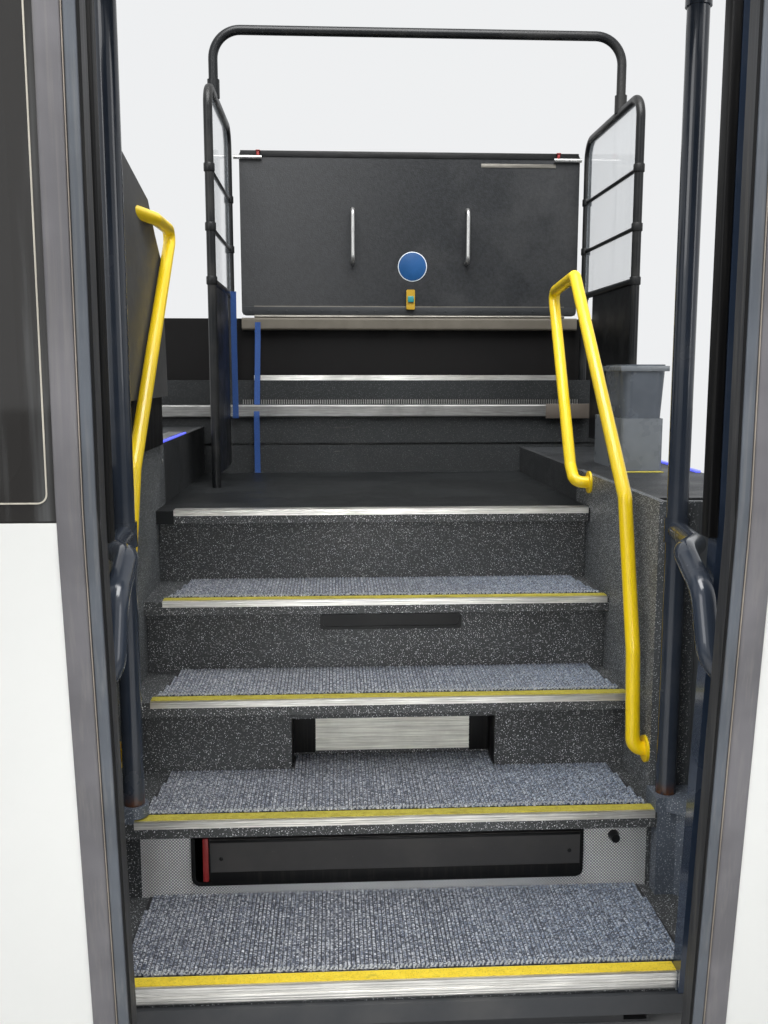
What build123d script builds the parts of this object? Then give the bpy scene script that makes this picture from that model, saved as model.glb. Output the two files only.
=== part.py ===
from build123d import *
import math
import os

# Entrance stairwell of a high-floor bus: five levels, a two-leaf swing-out door and the guarded landing.
# X runs along the vehicle, Y points into it from the doorway and Z is up, in millimetres.
# The origin is the centre of the four mounting holes on the underside of the base frame.

# Steps: nose_y is the front of each nosing and level is the walking surface.
step_table = (
    # nose_y, level
    (-1140, 140),
    (-835, 345),
    (-600, 548),
    (-388, 753),
    (-165, 967),
)
nosing_half = 600
board_t = 20
apron_h = 38
apron_t = 20
riser_t = 12
riser_setback = 50
landing_back = 924

# Nosing extrusions and their grip strips.
lip_t = 3
lip_h = 14
flange_d = 40
strip_front = 9
strip_d = 28
strip_t = 1.5

# Mats on the four treads.
mat_t = 8
mat_half = 590
mat_gap = 3
mat_cut = 22

# Side walls: inner faces, the niche beside each column and the top edges.
wall_left = 650
wall_right = 605
wall_t = 18
wall_top_left = 1150
wall_top_right = 1065
wall_foot = 60
niche_x = 700
niche_y = -765
wall_front = -1150

# Base frame: two rails, cross members and the four mounting pads.
rail_x = 480
rail_w = 60
rail_wall = 5
pad_t = 12
pad_x = 580
pad_y = 760
pad_w = 130
pad_d = 110
hole_r = 9
cross_w = 50
cross_places = (-1080, -400, 330, 900)
sill_half = pad_x + pad_w / 2
sill_beam_front = -1150
sill_beam_low = 60

# Lift in its cassette behind the lowest riser.
mouth_x = -18
mouth_w = 920
mouth_low = 152
mouth_high = 305
mouth_r = 18
plate_t = 2
cassette_x = -10
cassette_half = 475
cassette_wall = 4
cassette_back = 340
platform_half = 450
platform_low = 160
platform_high = 290
platform_back = 300
front_bar_half = 435
front_bar_low = 177
front_bar_high = 283
front_bar_proud = 8
knob_x = 517
knob_z = 268
knob_r = 13
knob_h = 22

# Recess in the second riser with its slatted panel, and the flush grip in the third.
recess_x = 7
recess_half = 262
recess_top = 483
recess_depth = 95
recess_wall = 8
slat_x = 10
slat_half = 205
slat_low = 361
slat_high = 461
slat_t = 6
slat_count = 7
grip_x = 12
grip_half = 194
grip_low = 662
grip_high = 704
grip_t = 8

# Rear podium, heater casing, lining and rails under the board.
rear_left = -850
rear_right = 950
rear_wall_y = 1100
podium_t = 18
podium_top = 1235
podium_nose_low = 1186
podium_nose_t = 20
seam_low = 1075
seam_h = 10
casing_y = 985
casing_top = 1330
casing_wall = 15
grille_h = 20
grille_t = 6
grille_slots = 60
trim_top = 1350
trim_t = 8
trim_left = -455
trim_right = 780
sill_low = 1530
sill_top = 1578
sill_front = 1040
lining_t = 18

# Side decks beyond the two walls.
deck_h = 100
deck_front = -700

# Guard frames on the landing: plane x, near post y, foot z and top z.
guard_table = (
    # name, x, near_y, foot_z, top_z
    ("left", -545, 420, 967, 2295),
    ("right", 875, 360, 1065, 2262),
)
guard_far_y = 1030
guard_r = 15
guard_bend = 70
bar_r = 7
bar_levels = (2030, 1840)
lower_rail = 1665
lower_rail_r = 12
pane_t = 4
panel_t = 10
panel_gap = 0.3
panel_foot = 40

# Arch over the landing.
arch_y = 600
arch_r = 16
arch_rise = 241
arch_bend = 95
sleeve_r = 21
sleeve_h = 60
sleeve_fit = 0.2

# Fold-down board, its hinge and fittings.
board_left = -505
board_right = 850
board_front = 1062
board_thick = 18
board_low = 1588
board_high = 2222
hinge_y = 1056
hinge_z = 1583.3
hinge_r = 5
grab_xs = (-60, 398)
grab_low = 1795
grab_high = 2000
grab_out = 45
grab_r = 8
bolt_len = 110
bolt_out_left = 21
bolt_out_right = 4
latch_x = 172
latch_low = 1612
latch_high = 1690
latch_w = 34

# Doorway: posts with the tuck of the body side, header and leaves.
post_in = 553
post_out = 597
post_front = -1240
post_depth = 40
tuck_from = 1120
tuck_depth = 92
tuck_foot = 100
header_low = 2240
header_top = 2330
header_half = 760
header_back = -740
header_wall = 4
leaf_foot = 100
leaf_top = 2200
leaf_w = 602
leaf_frame_t = 32
leaf_skin_t = 5
leaf_gap = 10
meeting_gap = 4
seal_w = 68
window_low = 1125
window_margin = 50
window_head = 115
window_r = 60

# Rotary columns with their arms.
column_table = (
    # name, side, distance from the middle
    ("left", -1, 604),
    ("right", 1, 634),
)
column_y = -800
column_r = 24
column_foot = 380
journal_r = 14
journal_h = 40
journal_fit = 0.1
open_shift = 506
open_out = 119
pivot_in = 75
arm_r = 22
arm_bend = 60
arm_pass = post_in - arm_r - 6
arm_bow = 12
arm_bow_y = -1030
arm_table = (
    # z at the column, z at the pivot, bends on the way out of the doorway as (y, z)
    (1005, 705, ((-1150, 1020), (-1250, 966), (-1298, 840))),
    (2150, 2150, ((-1155, 2150), (-1298, 2150))),
)
collar_t = 4
collar_half = 28
pin_r = 10
lug_t = 22
lug_r = 25
foot_pad_r = 32
foot_pad_t = 27

# Handrails.
rail_tube_r = 17
rail_bend = 26
flange_r = 32
flange_t = 6

# Side screen over the left wall, which carries the upper end of the left handrail.
screen_x = -630
screen_t = 25
screen_outline = (
    # y, z
    (-700, 1290), (-15, 1290), (-32, 1485), (-63, 1677), (-148, 1735), (-237, 1813), (-549, 1870), (-700, 1872),
)
screen_feet = (-600, -25)
screen_foot_w = 70
screen_foot_top = 1350

# Waste bin and its holder on the right deck.
bin_x = 788
bin_y = 48
bin_base_w = 100
bin_base_d = 166
bin_top_w = 142
bin_corner = 16
bin_h = 315
bin_wall = 3
holder_y = 105
holder_h = 157
holder_w = 128
holder_d = 310

# Webbing straps.
strap_w = 22
strap_t = 3
strap_start = lower_rail + 3
strap_hang = 485
strap_drop = 168
strap_sag = 8

os.makedirs("parts", exist_ok=True)


def save(part, name):
    part.label = name
    export_step(part, "parts/" + name + ".step")


def nose(i):
    return step_table[i][0]


def level(i):
    return step_table[i][1]


def riser_face(i):
    return nose(i + 1) + riser_setback


def tuck_at(z):
    return tuck_depth * max(0.0, tuck_from - z) / (tuck_from - tuck_foot)


def tucked_band(front, back, low, high):
    """Closed profile in YZ of the body side, upright above and leaning in below."""
    Polyline(
        (front, high),
        (front, tuck_from),
        (front + tuck_at(low), low),
        (back + tuck_at(low), low),
        (back, tuck_from),
        (back, high),
        close=True,
    )


# Kinematics of a leaf, worked out on the right-hand side of the doorway.
leaf_inner_closed = post_front - leaf_gap
pivot_y_closed = leaf_inner_closed + pivot_in
pivot_drop_closed = pivot_y_closed - column_y
pivot_drop_open = pivot_drop_closed - open_out
pivot_u = (pivot_drop_closed ** 2 - pivot_drop_open ** 2 - open_shift ** 2) / (2 * open_shift)
pivot_out = pivot_u + open_shift
pivot_open_y = column_y + pivot_drop_open
swing = math.degrees(
    math.atan2(pivot_drop_open, pivot_out) - math.atan2(pivot_drop_closed, pivot_u)
)
leaf_inner_open = leaf_inner_closed - open_out
leaf_outer_open = leaf_inner_open - leaf_frame_t - leaf_skin_t
leaf_edge_open = meeting_gap + open_shift
print("door swing", round(swing, 3), "pivot", round(pivot_out, 3), round(pivot_open_y, 3))

# Base frame.
with BuildPart() as base_frame:
    for side in (-1, 1):
        with BuildSketch(Plane.XZ.offset(-cross_places[-1] - cross_w / 2)):
            with Locations((side * rail_x, (pad_t + level(0) - board_t) / 2)):
                Rectangle(rail_w, level(0) - board_t - pad_t)
                Rectangle(
                    rail_w - 2 * rail_wall, level(0) - board_t - pad_t - 2 * rail_wall,
                    mode=Mode.SUBTRACT,
                )
        extrude(amount=cross_places[-1] - cross_places[0] + cross_w)
    for y in cross_places:
        with BuildSketch(Plane.XY.offset(pad_t)):
            with Locations((0, y)):
                Rectangle(2 * rail_x - rail_w, cross_w)
        extrude(amount=cross_w)
    with BuildSketch(Plane.XY):
        with GridLocations(2 * pad_x, 2 * pad_y, 2, 2):
            Rectangle(pad_w, pad_d)
        for side in (-1, 1):
            with Locations((side * (rail_x + pad_x) / 2, -pad_y), (side * (rail_x + pad_x) / 2, pad_y)):
                Rectangle(pad_x - rail_x + rail_w, pad_d)
    extrude(amount=pad_t)
    with Locations(Plane.XY.offset(pad_t)):
        with GridLocations(2 * pad_x, 2 * pad_y, 2, 2):
            Hole(radius=hole_r, depth=pad_t)
save(base_frame.part, "base_frame")

# Sill beam across the front ends of the rails, under the lowest tread.
rail_front = cross_places[0] - cross_w / 2
with BuildPart() as sill_beam:
    with BuildSketch(Plane.YZ.offset(-sill_half)):
        with Locations(((sill_beam_front + rail_front) / 2, (sill_beam_low + level(0) - apron_h) / 2)):
            Rectangle(rail_front - sill_beam_front, level(0) - apron_h - sill_beam_low)
    extrude(amount=2 * sill_half)
save(sill_beam.part, "sill_beam")

# Side walls.
for name, side, inner, top in (
    ("side_wall_left", -1, wall_left, wall_top_left),
    ("side_wall_right", 1, wall_right, wall_top_right),
):
    with BuildPart() as side_wall:
        with BuildSketch(Plane.XY.offset(wall_foot)):
            with BuildLine():
                Polyline(
                    (side * inner, landing_back),
                    (side * inner, niche_y),
                    (side * niche_x, niche_y),
                    (side * niche_x, wall_front),
                    (side * (niche_x + wall_t), wall_front),
                    (side * (niche_x + wall_t), niche_y + wall_t),
                    (side * (inner + wall_t), niche_y + wall_t),
                    (side * (inner + wall_t), landing_back),
                    close=True,
                )
            make_face()
        extrude(amount=top - wall_foot)
    save(side_wall.part, name)

# Treads with their front aprons; the lowest one starts between the posts and widens into the niches.
sill_end = post_in - panel_gap
wide_front = post_front + post_depth + tuck_depth + lip_t
for i in range(4):
    back = riser_face(i) + riser_t
    left_end = -wall_left if i else -sill_end
    right_end = wall_right if i else sill_end
    with BuildPart() as tread:
        with BuildSketch(Plane.YZ.offset(left_end)):
            with BuildLine():
                Polyline(
                    (nose(i) + lip_t, level(i)),
                    (back, level(i)),
                    (back, level(i) - board_t),
                    (nose(i) + lip_t + apron_t, level(i) - board_t),
                    (nose(i) + lip_t + apron_t, level(i) - apron_h),
                    (nose(i) + lip_t, level(i) - apron_h),
                    close=True,
                )
            make_face()
        extrude(amount=right_end - left_end)
        if i == 0:
            with BuildSketch(Plane.XY.offset(level(0) - board_t)):
                with Locations((0, (wide_front + back) / 2)):
                    Rectangle(2 * niche_x, back - wide_front)
            extrude(amount=board_t)
    save(tread.part, "tread_" + str(i + 1))

with BuildPart() as landing_floor:
    with BuildSketch(Plane.YZ.offset(-wall_left)):
        with BuildLine():
            Polyline(
                (nose(4) + lip_t, level(4)),
                (rear_wall_y, level(4)),
                (rear_wall_y, level(4) - board_t),
                (nose(4) + lip_t + apron_t, level(4) - board_t),
                (nose(4) + lip_t + apron_t, level(4) - apron_h),
                (nose(4) + lip_t, level(4) - apron_h),
                close=True,
            )
        make_face()
    extrude(amount=wall_left + wall_right)
save(landing_floor.part, "landing_floor")

# Risers: each stands on its tread and carries the board above.
for i in range(4):
    with BuildPart() as riser:
        with BuildSketch(Plane.XZ.offset(-riser_face(i))):
            with Locations(((wall_right - wall_left) / 2, (level(i) + level(i + 1) - board_t) / 2)):
                Rectangle(wall_left + wall_right, level(i + 1) - board_t - level(i))
            if i == 0:
                with Locations((mouth_x, (mouth_low + mouth_high) / 2)):
                    RectangleRounded(mouth_w, mouth_high - mouth_low, mouth_r, mode=Mode.SUBTRACT)
            if i == 1:
                with Locations((recess_x, (level(1) + recess_top) / 2)):
                    Rectangle(2 * recess_half, recess_top - level(1), mode=Mode.SUBTRACT)
        extrude(amount=-riser_t)
        if i == 1:
            with BuildSketch(Plane.XZ.offset(-riser_face(1) - riser_t)):
                with Locations((recess_x, (level(1) + recess_top) / 2)):
                    Rectangle(2 * (recess_half + recess_wall), recess_top - level(1) + 2 * recess_wall)
            extrude(amount=-recess_depth)
            with BuildSketch(Plane.XZ.offset(-riser_face(1) - riser_t)):
                with Locations((recess_x, (level(1) + recess_top) / 2)):
                    Rectangle(2 * recess_half, recess_top - level(1))
            extrude(amount=-(recess_depth - recess_wall), mode=Mode.SUBTRACT)
    save(riser.part, "riser_" + str(i + 1))

# Patterned plate on the lowest riser.
with BuildPart() as riser_plate:
    with BuildSketch(Plane.XZ.offset(-riser_face(0))):
        with Locations((0, (level(0) + level(1) - apron_h) / 2)):
            Rectangle(2 * nosing_half - 2 * mat_gap, level(1) - apron_h - level(0))
        with Locations((mouth_x, (mouth_low + mouth_high) / 2)):
            RectangleRounded(mouth_w, mouth_high - mouth_low, mouth_r, mode=Mode.SUBTRACT)
    extrude(amount=plate_t)
save(riser_plate.part, "riser_plate")

# Nosings and their grip strips.
with BuildPart() as nosings:
    for i in range(5):
        half = nosing_half if i else sill_end
        with BuildSketch(Plane.YZ.offset(-half)):
            with BuildLine():
                Polyline(
                    (nose(i), level(i) - lip_h),
                    (nose(i), level(i) + lip_t),
                    (nose(i) + flange_d, level(i) + lip_t),
                    (nose(i) + flange_d, level(i)),
                    (nose(i) + lip_t, level(i)),
                    (nose(i) + lip_t, level(i) - lip_h),
                    close=True,
                )
            make_face()
        extrude(amount=2 * half)
save(nosings.part, "nosings")

with BuildPart() as grip_strips:
    for i in range(4):
        with BuildSketch(Plane.XY.offset(level(i) + lip_t)):
            with Locations((0, nose(i) + strip_front + strip_d / 2)):
                Rectangle(2 * (nosing_half if i else sill_end), strip_d)
        extrude(amount=strip_t)
save(grip_strips.part, "grip_strips")

# Mats with cut corners; the second one runs on into the recess.
with BuildPart() as tread_mats:
    for i in range(4):
        front = nose(i) + flange_d + mat_gap
        back = riser_face(i) - plate_t - mat_gap
        with BuildSketch(Plane.XY.offset(level(i))):
            with Locations((0, (front + back) / 2)):
                Rectangle(2 * mat_half, back - front)
                chamfer(vertices().group_by(Axis.Y)[0], mat_cut)
            if i == 1:
                deep = riser_face(1) + recess_depth - 2 * mat_gap
                with Locations((recess_x, (back + deep) / 2)):
                    Rectangle(2 * (recess_half - mat_gap), deep - back + 2 * mat_gap)
        extrude(amount=mat_t)
save(tread_mats.part, "tread_mats")

# Lift cassette and the platform stowed in it.
cassette_front = riser_face(0) + riser_t
with BuildPart() as lift_cassette:
    with BuildSketch(Plane.XZ.offset(-cassette_front)):
        with Locations((cassette_x, (level(0) + level(1)) / 2 - board_t)):
            Rectangle(2 * cassette_half, level(1) - level(0))
            Rectangle(
                2 * (cassette_half - cassette_wall), level(1) - level(0) - 2 * cassette_wall,
                mode=Mode.SUBTRACT,
            )
    extrude(amount=-(cassette_back - cassette_front))
    with BuildSketch(Plane.XZ.offset(-cassette_back)):
        with Locations((cassette_x, (level(0) + level(1)) / 2 - board_t)):
            Rectangle(2 * cassette_half, level(1) - level(0))
    extrude(amount=-cassette_wall)
save(lift_cassette.part, "lift_cassette")

runner_low = level(0) - board_t + cassette_wall
with BuildPart() as lift_platform:
    with BuildSketch(Plane.XZ.offset(-cassette_front)):
        with Locations((0, (platform_low + platform_high) / 2)):
            Rectangle(2 * platform_half, platform_high - platform_low)
            Rectangle(
                2 * (platform_half - cross_w), platform_high - platform_low - 2 * board_t,
                mode=Mode.SUBTRACT,
            )
            with Locations((0, -board_t)):
                Rectangle(
                    2 * (platform_half - cross_w), platform_high - platform_low - 2 * board_t,
                    mode=Mode.SUBTRACT,
                )
        for side in (-1, 1):
            with Locations((side * (platform_half - cross_w / 2), (runner_low + platform_low) / 2)):
                Rectangle(cross_w, platform_low - runner_low)
    extrude(amount=-(platform_back - cassette_front))
    with BuildSketch(Plane.XZ.offset(-cassette_front)):
        with Locations((0, (front_bar_low + front_bar_high) / 2)):
            Rectangle(2 * front_bar_half, front_bar_high - front_bar_low)
    extrude(amount=riser_t + plate_t + front_bar_proud)
    with BuildSketch(Plane.XZ.offset(-cassette_front)):
        with Locations((0, (platform_low + platform_high) / 2)):
            Rectangle(2 * platform_half, platform_high - platform_low)
    extrude(amount=-cross_w)
save(lift_platform.part, "lift_platform")

# Slatted panel at the back of the recess.
slat_pitch = (slat_high - slat_low) / slat_count
with BuildPart() as slat_panel:
    with BuildSketch(Plane.XZ.offset(-(riser_face(1) + riser_t + recess_depth - recess_wall - slat_t))):
        with Locations((slat_x, (slat_low + slat_high) / 2)):
            Rectangle(2 * slat_half, slat_high - slat_low)
    extrude(amount=-slat_t)
    with BuildSketch(Plane.XZ.offset(-(riser_face(1) + riser_t + recess_depth - recess_wall - slat_t))):
        with Locations((slat_x, (slat_low + slat_high) / 2)):
            with GridLocations(0, slat_pitch, 1, slat_count):
                Rectangle(2 * slat_half, slat_pitch / 3)
    extrude(amount=-slat_t / 2, mode=Mode.SUBTRACT)
save(slat_panel.part, "slat_panel")

# Flush grip in the third riser and the knob of the lift's flap on the lowest one.
grip_mid = (grip_x, (grip_low + grip_high) / 2)
with BuildPart() as riser_fittings:
    with BuildSketch(Plane.XZ.offset(-riser_face(2))):
        with Locations(grip_mid):
            RectangleRounded(2 * grip_half, grip_high - grip_low, grip_t)
    extrude(amount=grip_t)
    with BuildSketch(Plane.XZ.offset(-riser_face(2) + grip_t)):
        with Locations(grip_mid):
            RectangleRounded(2 * grip_half - 2 * grip_t, grip_high - grip_low - 2 * grip_t, grip_t)
    extrude(amount=-grip_t / 2, mode=Mode.SUBTRACT)
    with BuildSketch(Plane.XZ.offset(-riser_face(0) + plate_t)):
        with Locations((knob_x, knob_z)):
            Circle(knob_r)
    extrude(amount=knob_h, taper=8)
save(riser_fittings.part, "riser_fittings")

# Rear podium: stepped front with a seam, and its top board.
with BuildPart() as podium:
    with BuildSketch(Plane.YZ.offset(rear_left)):
        with BuildLine():
            Polyline(
                (landing_back, level(4)),
                (landing_back, seam_low),
                (landing_back + podium_t / 2, seam_low),
                (landing_back + podium_t / 2, seam_low + seam_h),
                (landing_back, seam_low + seam_h),
                (landing_back, podium_top),
                (rear_wall_y, podium_top),
                (rear_wall_y, podium_top - podium_t),
                (landing_back + podium_t, podium_top - podium_t),
                (landing_back + podium_t, level(4)),
                close=True,
            )
        make_face()
    extrude(amount=rear_right - rear_left)
save(podium.part, "podium")

with BuildPart() as podium_nosing:
    with BuildSketch(Plane.YZ.offset(rear_left)):
        with Locations((landing_back - podium_nose_t / 2, (podium_nose_low + podium_top) / 2)):
            Rectangle(podium_nose_t, podium_top - podium_nose_low)
            fillet(vertices().group_by(Axis.X)[0], podium_nose_t / 3)
    extrude(amount=rear_right - rear_left)
save(podium_nosing.part, "podium_nosing")

with BuildPart() as heater_casing:
    with BuildSketch(Plane.YZ.offset(rear_left)):
        with BuildLine():
            Polyline(
                (casing_y, podium_top),
                (casing_y, casing_top),
                (rear_wall_y, casing_top),
                (rear_wall_y, casing_top - casing_wall),
                (casing_y + casing_wall, casing_top - casing_wall),
                (casing_y + casing_wall, podium_top),
                close=True,
            )
        make_face()
    extrude(amount=rear_right - rear_left)
save(heater_casing.part, "heater_casing")

# Air grille along the foot of the casing.
grille_w = board_right - board_left
with BuildPart() as air_grille:
    with BuildSketch(Plane.XZ.offset(-casing_y)):
        with Locations(((board_left + board_right) / 2, podium_top + grille_h / 2)):
            Rectangle(grille_w, grille_h)
    extrude(amount=grille_t)
    with BuildSketch(Plane.XZ.offset(-casing_y + grille_t)):
        with Locations(((board_left + board_right) / 2, podium_top + grille_h / 2)):
            with GridLocations(grille_w / grille_slots, 0, grille_slots, 1):
                Rectangle(grille_w / grille_slots / 2, grille_h - grille_t)
    extrude(amount=-grille_t / 2, mode=Mode.SUBTRACT)
save(air_grille.part, "air_grille")

with BuildPart() as trim_rail:
    with BuildSketch(Plane.YZ.offset(trim_left)):
        with BuildLine():
            Polyline(
                (casing_y, casing_top),
                (casing_y, trim_top),
                (casing_y + trim_t, trim_top),
                (casing_y + trim_t, casing_top + trim_t),
                (casing_y + trim_t * 4, casing_top + trim_t),
                (casing_y + trim_t * 4, casing_top),
                close=True,
            )
        make_face()
    extrude(amount=trim_right - trim_left)
save(trim_rail.part, "trim_rail")

# Rear wall, its lining and the sill rail that carries the board.
with BuildPart() as rear_wall:
    with BuildSketch(Plane.XZ.offset(-rear_wall_y)):
        with Locations(((rear_left + rear_right) / 2, (wall_foot + sill_top) / 2)):
            Rectangle(rear_right - rear_left, sill_top - wall_foot)
    extrude(amount=-lining_t)
save(rear_wall.part, "rear_wall")

with BuildPart() as rear_lining:
    with BuildSketch(Plane.XZ.offset(-rear_wall_y)):
        with Locations(((rear_left + rear_right) / 2, (casing_top + sill_low) / 2)):
            Rectangle(rear_right - rear_left, sill_low - casing_top)
    extrude(amount=lining_t)
save(rear_lining.part, "rear_lining")

with BuildPart() as sill_rail:
    with BuildSketch(Plane.YZ.offset(board_left)):
        with Locations(((sill_front + rear_wall_y) / 2, (sill_low + sill_top) / 2)):
            Rectangle(rear_wall_y - sill_front, sill_top - sill_low)
            fillet(vertices().group_by(Axis.X)[0], lining_t / 2)
    extrude(amount=board_right - board_left)
save(sill_rail.part, "sill_rail")

# Side decks: boards with a downturned outer edge.
for name, inner, outer, top in (
    ("deck_left", -wall_left - wall_t, rear_left, wall_top_left),
    ("deck_right", wall_right + wall_t, rear_right, wall_top_right),
):
    turn = math.copysign(podium_t, outer)
    with BuildPart() as deck:
        with BuildSketch(Plane.XZ.offset(-deck_front)):
            with BuildLine():
                Polyline(
                    (inner, top),
                    (outer, top),
                    (outer, top - deck_h),
                    (outer - turn, top - deck_h),
                    (outer - turn, top - podium_t),
                    (inner, top - podium_t),
                    close=True,
                )
            make_face()
        extrude(amount=-(landing_back - deck_front))
    save(deck.part, name)

# Guard frames: a bent hoop, two bars, a lower rail and the socket of the arch.
for name, x, near_y, foot_z, top_z in guard_table:
    with BuildPart() as guard:
        with BuildLine() as hoop:
            FilletPolyline(
                (x, near_y, foot_z),
                (x, near_y, top_z),
                (x, guard_far_y, top_z),
                (x, guard_far_y, casing_top),
                radius=guard_bend,
            )
        with BuildSketch(Plane(origin=(x, near_y, foot_z), z_dir=(0, 0, 1))):
            Circle(guard_r)
        sweep(path=hoop.wires()[0])
        for z in bar_levels:
            with BuildSketch(Plane(origin=(x, near_y, z), x_dir=(1, 0, 0), z_dir=(0, 1, 0))):
                Circle(bar_r)
            extrude(amount=guard_far_y - near_y)
        with BuildSketch(Plane(origin=(x, near_y, lower_rail), x_dir=(1, 0, 0), z_dir=(0, 1, 0))):
            Circle(lower_rail_r)
        extrude(amount=guard_far_y - near_y)
        with BuildSketch(Plane.XY.offset(top_z)):
            with Locations((x, arch_y)):
                Circle(sleeve_r)
        extrude(amount=sleeve_h)
        with BuildSketch(Plane.XY.offset(top_z + guard_r)):
            with Locations((x, arch_y)):
                Circle(arch_r + sleeve_fit)
        extrude(amount=sleeve_h, mode=Mode.SUBTRACT)
    save(guard.part, "guard_" + name)

# Clear panes between the bars and dark panels below the lower rails.
with BuildPart() as guard_panes:
    for name, x, near_y, foot_z, top_z in guard_table:
        pane_near = near_y + guard_r + panel_gap
        pane_far = guard_far_y - guard_r - panel_gap
        edges = ((top_z, guard_r), (bar_levels[0], bar_r), (bar_levels[1], bar_r), (lower_rail, lower_rail_r))
        for (upper, upper_r), (lower, lower_r) in zip(edges, edges[1:]):
            pane_top = upper - upper_r - panel_gap
            pane_low = lower + lower_r + panel_gap
            with BuildSketch(Plane.YZ.offset(x - pane_t / 2)):
                with Locations(((pane_near + pane_far) / 2, (pane_top + pane_low) / 2)):
                    Rectangle(pane_far - pane_near, pane_top - pane_low)
                if upper == top_z:
                    fillet(vertices().group_by(Axis.Y)[-1], guard_bend - guard_r)
            extrude(amount=pane_t)
save(guard_panes.part, "guard_panes")

with BuildPart() as guard_panels:
    for name, x, near_y, foot_z, top_z in guard_table:
        panel_near = near_y + guard_r + panel_gap
        panel_far = landing_back - 2 * podium_nose_t
        panel_low = foot_z + panel_foot
        panel_high = lower_rail - lower_rail_r - panel_gap
        with BuildSketch(Plane.YZ.offset(x - panel_t / 2)):
            with Locations(((panel_near + panel_far) / 2, (panel_low + panel_high) / 2)):
                Rectangle(panel_far - panel_near, panel_high - panel_low)
        extrude(amount=panel_t)
save(guard_panels.part, "guard_panels")

# Arch over the landing, its legs standing in the two sockets.
left_x = guard_table[0][1]
right_x = guard_table[1][1]
left_seat = guard_table[0][4] + guard_r
right_seat = guard_table[1][4] + guard_r
arch_top = right_seat + arch_rise
with BuildPart() as arch_tube:
    with BuildLine() as arch_path:
        FilletPolyline(
            (left_x, arch_y, left_seat),
            (left_x, arch_y, arch_top),
            (right_x, arch_y, arch_top),
            (right_x, arch_y, right_seat),
            radius=arch_bend,
        )
    with BuildSketch(Plane(origin=(left_x, arch_y, left_seat), z_dir=(0, 0, 1))):
        Circle(arch_r)
    sweep(path=arch_path.wires()[0])
save(arch_tube.part, "arch_tube")

# Fold-down board with its hinge strip.
with BuildPart() as board:
    with BuildSketch(Plane.XZ.offset(-board_front)):
        with Locations(((board_left + board_right) / 2, (board_low + board_high) / 2)):
            RectangleRounded(board_right - board_left, board_high - board_low, board_thick)
    extrude(amount=-board_thick)
save(board.part, "board")

with BuildPart() as board_hinge:
    with BuildSketch(Plane.YZ.offset(board_left + cross_w)):
        with Locations((hinge_y, hinge_z)):
            Circle(hinge_r)
        with Locations((board_front - strip_t, (hinge_z + board_low + apron_h) / 2)):
            Rectangle(2 * strip_t, board_low + apron_h - hinge_z)
        with Locations(((hinge_y + board_front) / 2, hinge_z)):
            Rectangle(board_front - hinge_y, 2 * strip_t)
    extrude(amount=board_right - board_left - 2 * cross_w)
save(board_hinge.part, "board_hinge")

with BuildPart() as board_fittings:
    for x in grab_xs:
        with BuildLine() as grab_path:
            FilletPolyline(
                (x, board_front, grab_low),
                (x, board_front - grab_out, grab_low),
                (x, board_front - grab_out, grab_high),
                (x, board_front, grab_high),
                radius=3 * grab_r,
            )
        with BuildSketch(Plane(origin=(x, board_front, grab_low), z_dir=(0, -1, 0))):
            Circle(grab_r)
        sweep(path=grab_path.wires()[0])
    for side, edge in ((-1, board_left - bolt_out_left), (1, board_right + bolt_out_right)):
        with BuildSketch(Plane.YZ.offset(edge)):
            with Locations((board_front - grab_r, board_high - cross_w / 2)):
                Circle(grab_r)
        extrude(amount=-side * bolt_len)
save(board_fittings.part, "board_fittings")

with BuildPart() as board_latch:
    with BuildSketch(Plane.XZ.offset(-board_front + 2 * strip_t)):
        with Locations((latch_x, (latch_low + latch_high) / 2)):
            RectangleRounded(latch_w, latch_high - latch_low, 5)
    extrude(amount=podium_t)
save(board_latch.part, "board_latch")

# Doorway posts and header.
with BuildPart() as door_posts:
    for side in (-1, 1):
        with BuildSketch(Plane.YZ.offset(side * (post_in + post_out) / 2)):
            with BuildLine():
                tucked_band(post_front, post_front + post_depth, level(0) - apron_h, header_top - header_wall)
            make_face()
        extrude(amount=(post_out - post_in) / 2, both=True)
save(door_posts.part, "door_posts")

header_front = post_front - header_wall
with BuildPart() as door_header:
    with BuildSketch(Plane.XY.offset(header_low)):
        with Locations((0, (header_front + header_back) / 2)):
            Rectangle(2 * header_half, header_back - header_front)
    extrude(amount=header_top - header_low)
    with BuildSketch(Plane.XY.offset(header_low)):
        with Locations((0, (header_front + header_back) / 2)):
            Rectangle(2 * (header_half - header_wall), header_back - header_front - 2 * header_wall)
    extrude(amount=header_top - header_low - header_wall, mode=Mode.SUBTRACT)
    with BuildSketch(Plane.XY.offset(header_low)):
        with Locations(*[(side * column_x, column_y) for name, side, column_x in column_table]):
            Rectangle(4 * journal_r, 4 * journal_r)
            Circle(journal_r + journal_fit, mode=Mode.SUBTRACT)
    extrude(amount=header_top - header_low - header_wall)
save(door_header.part, "door_header")

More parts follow.
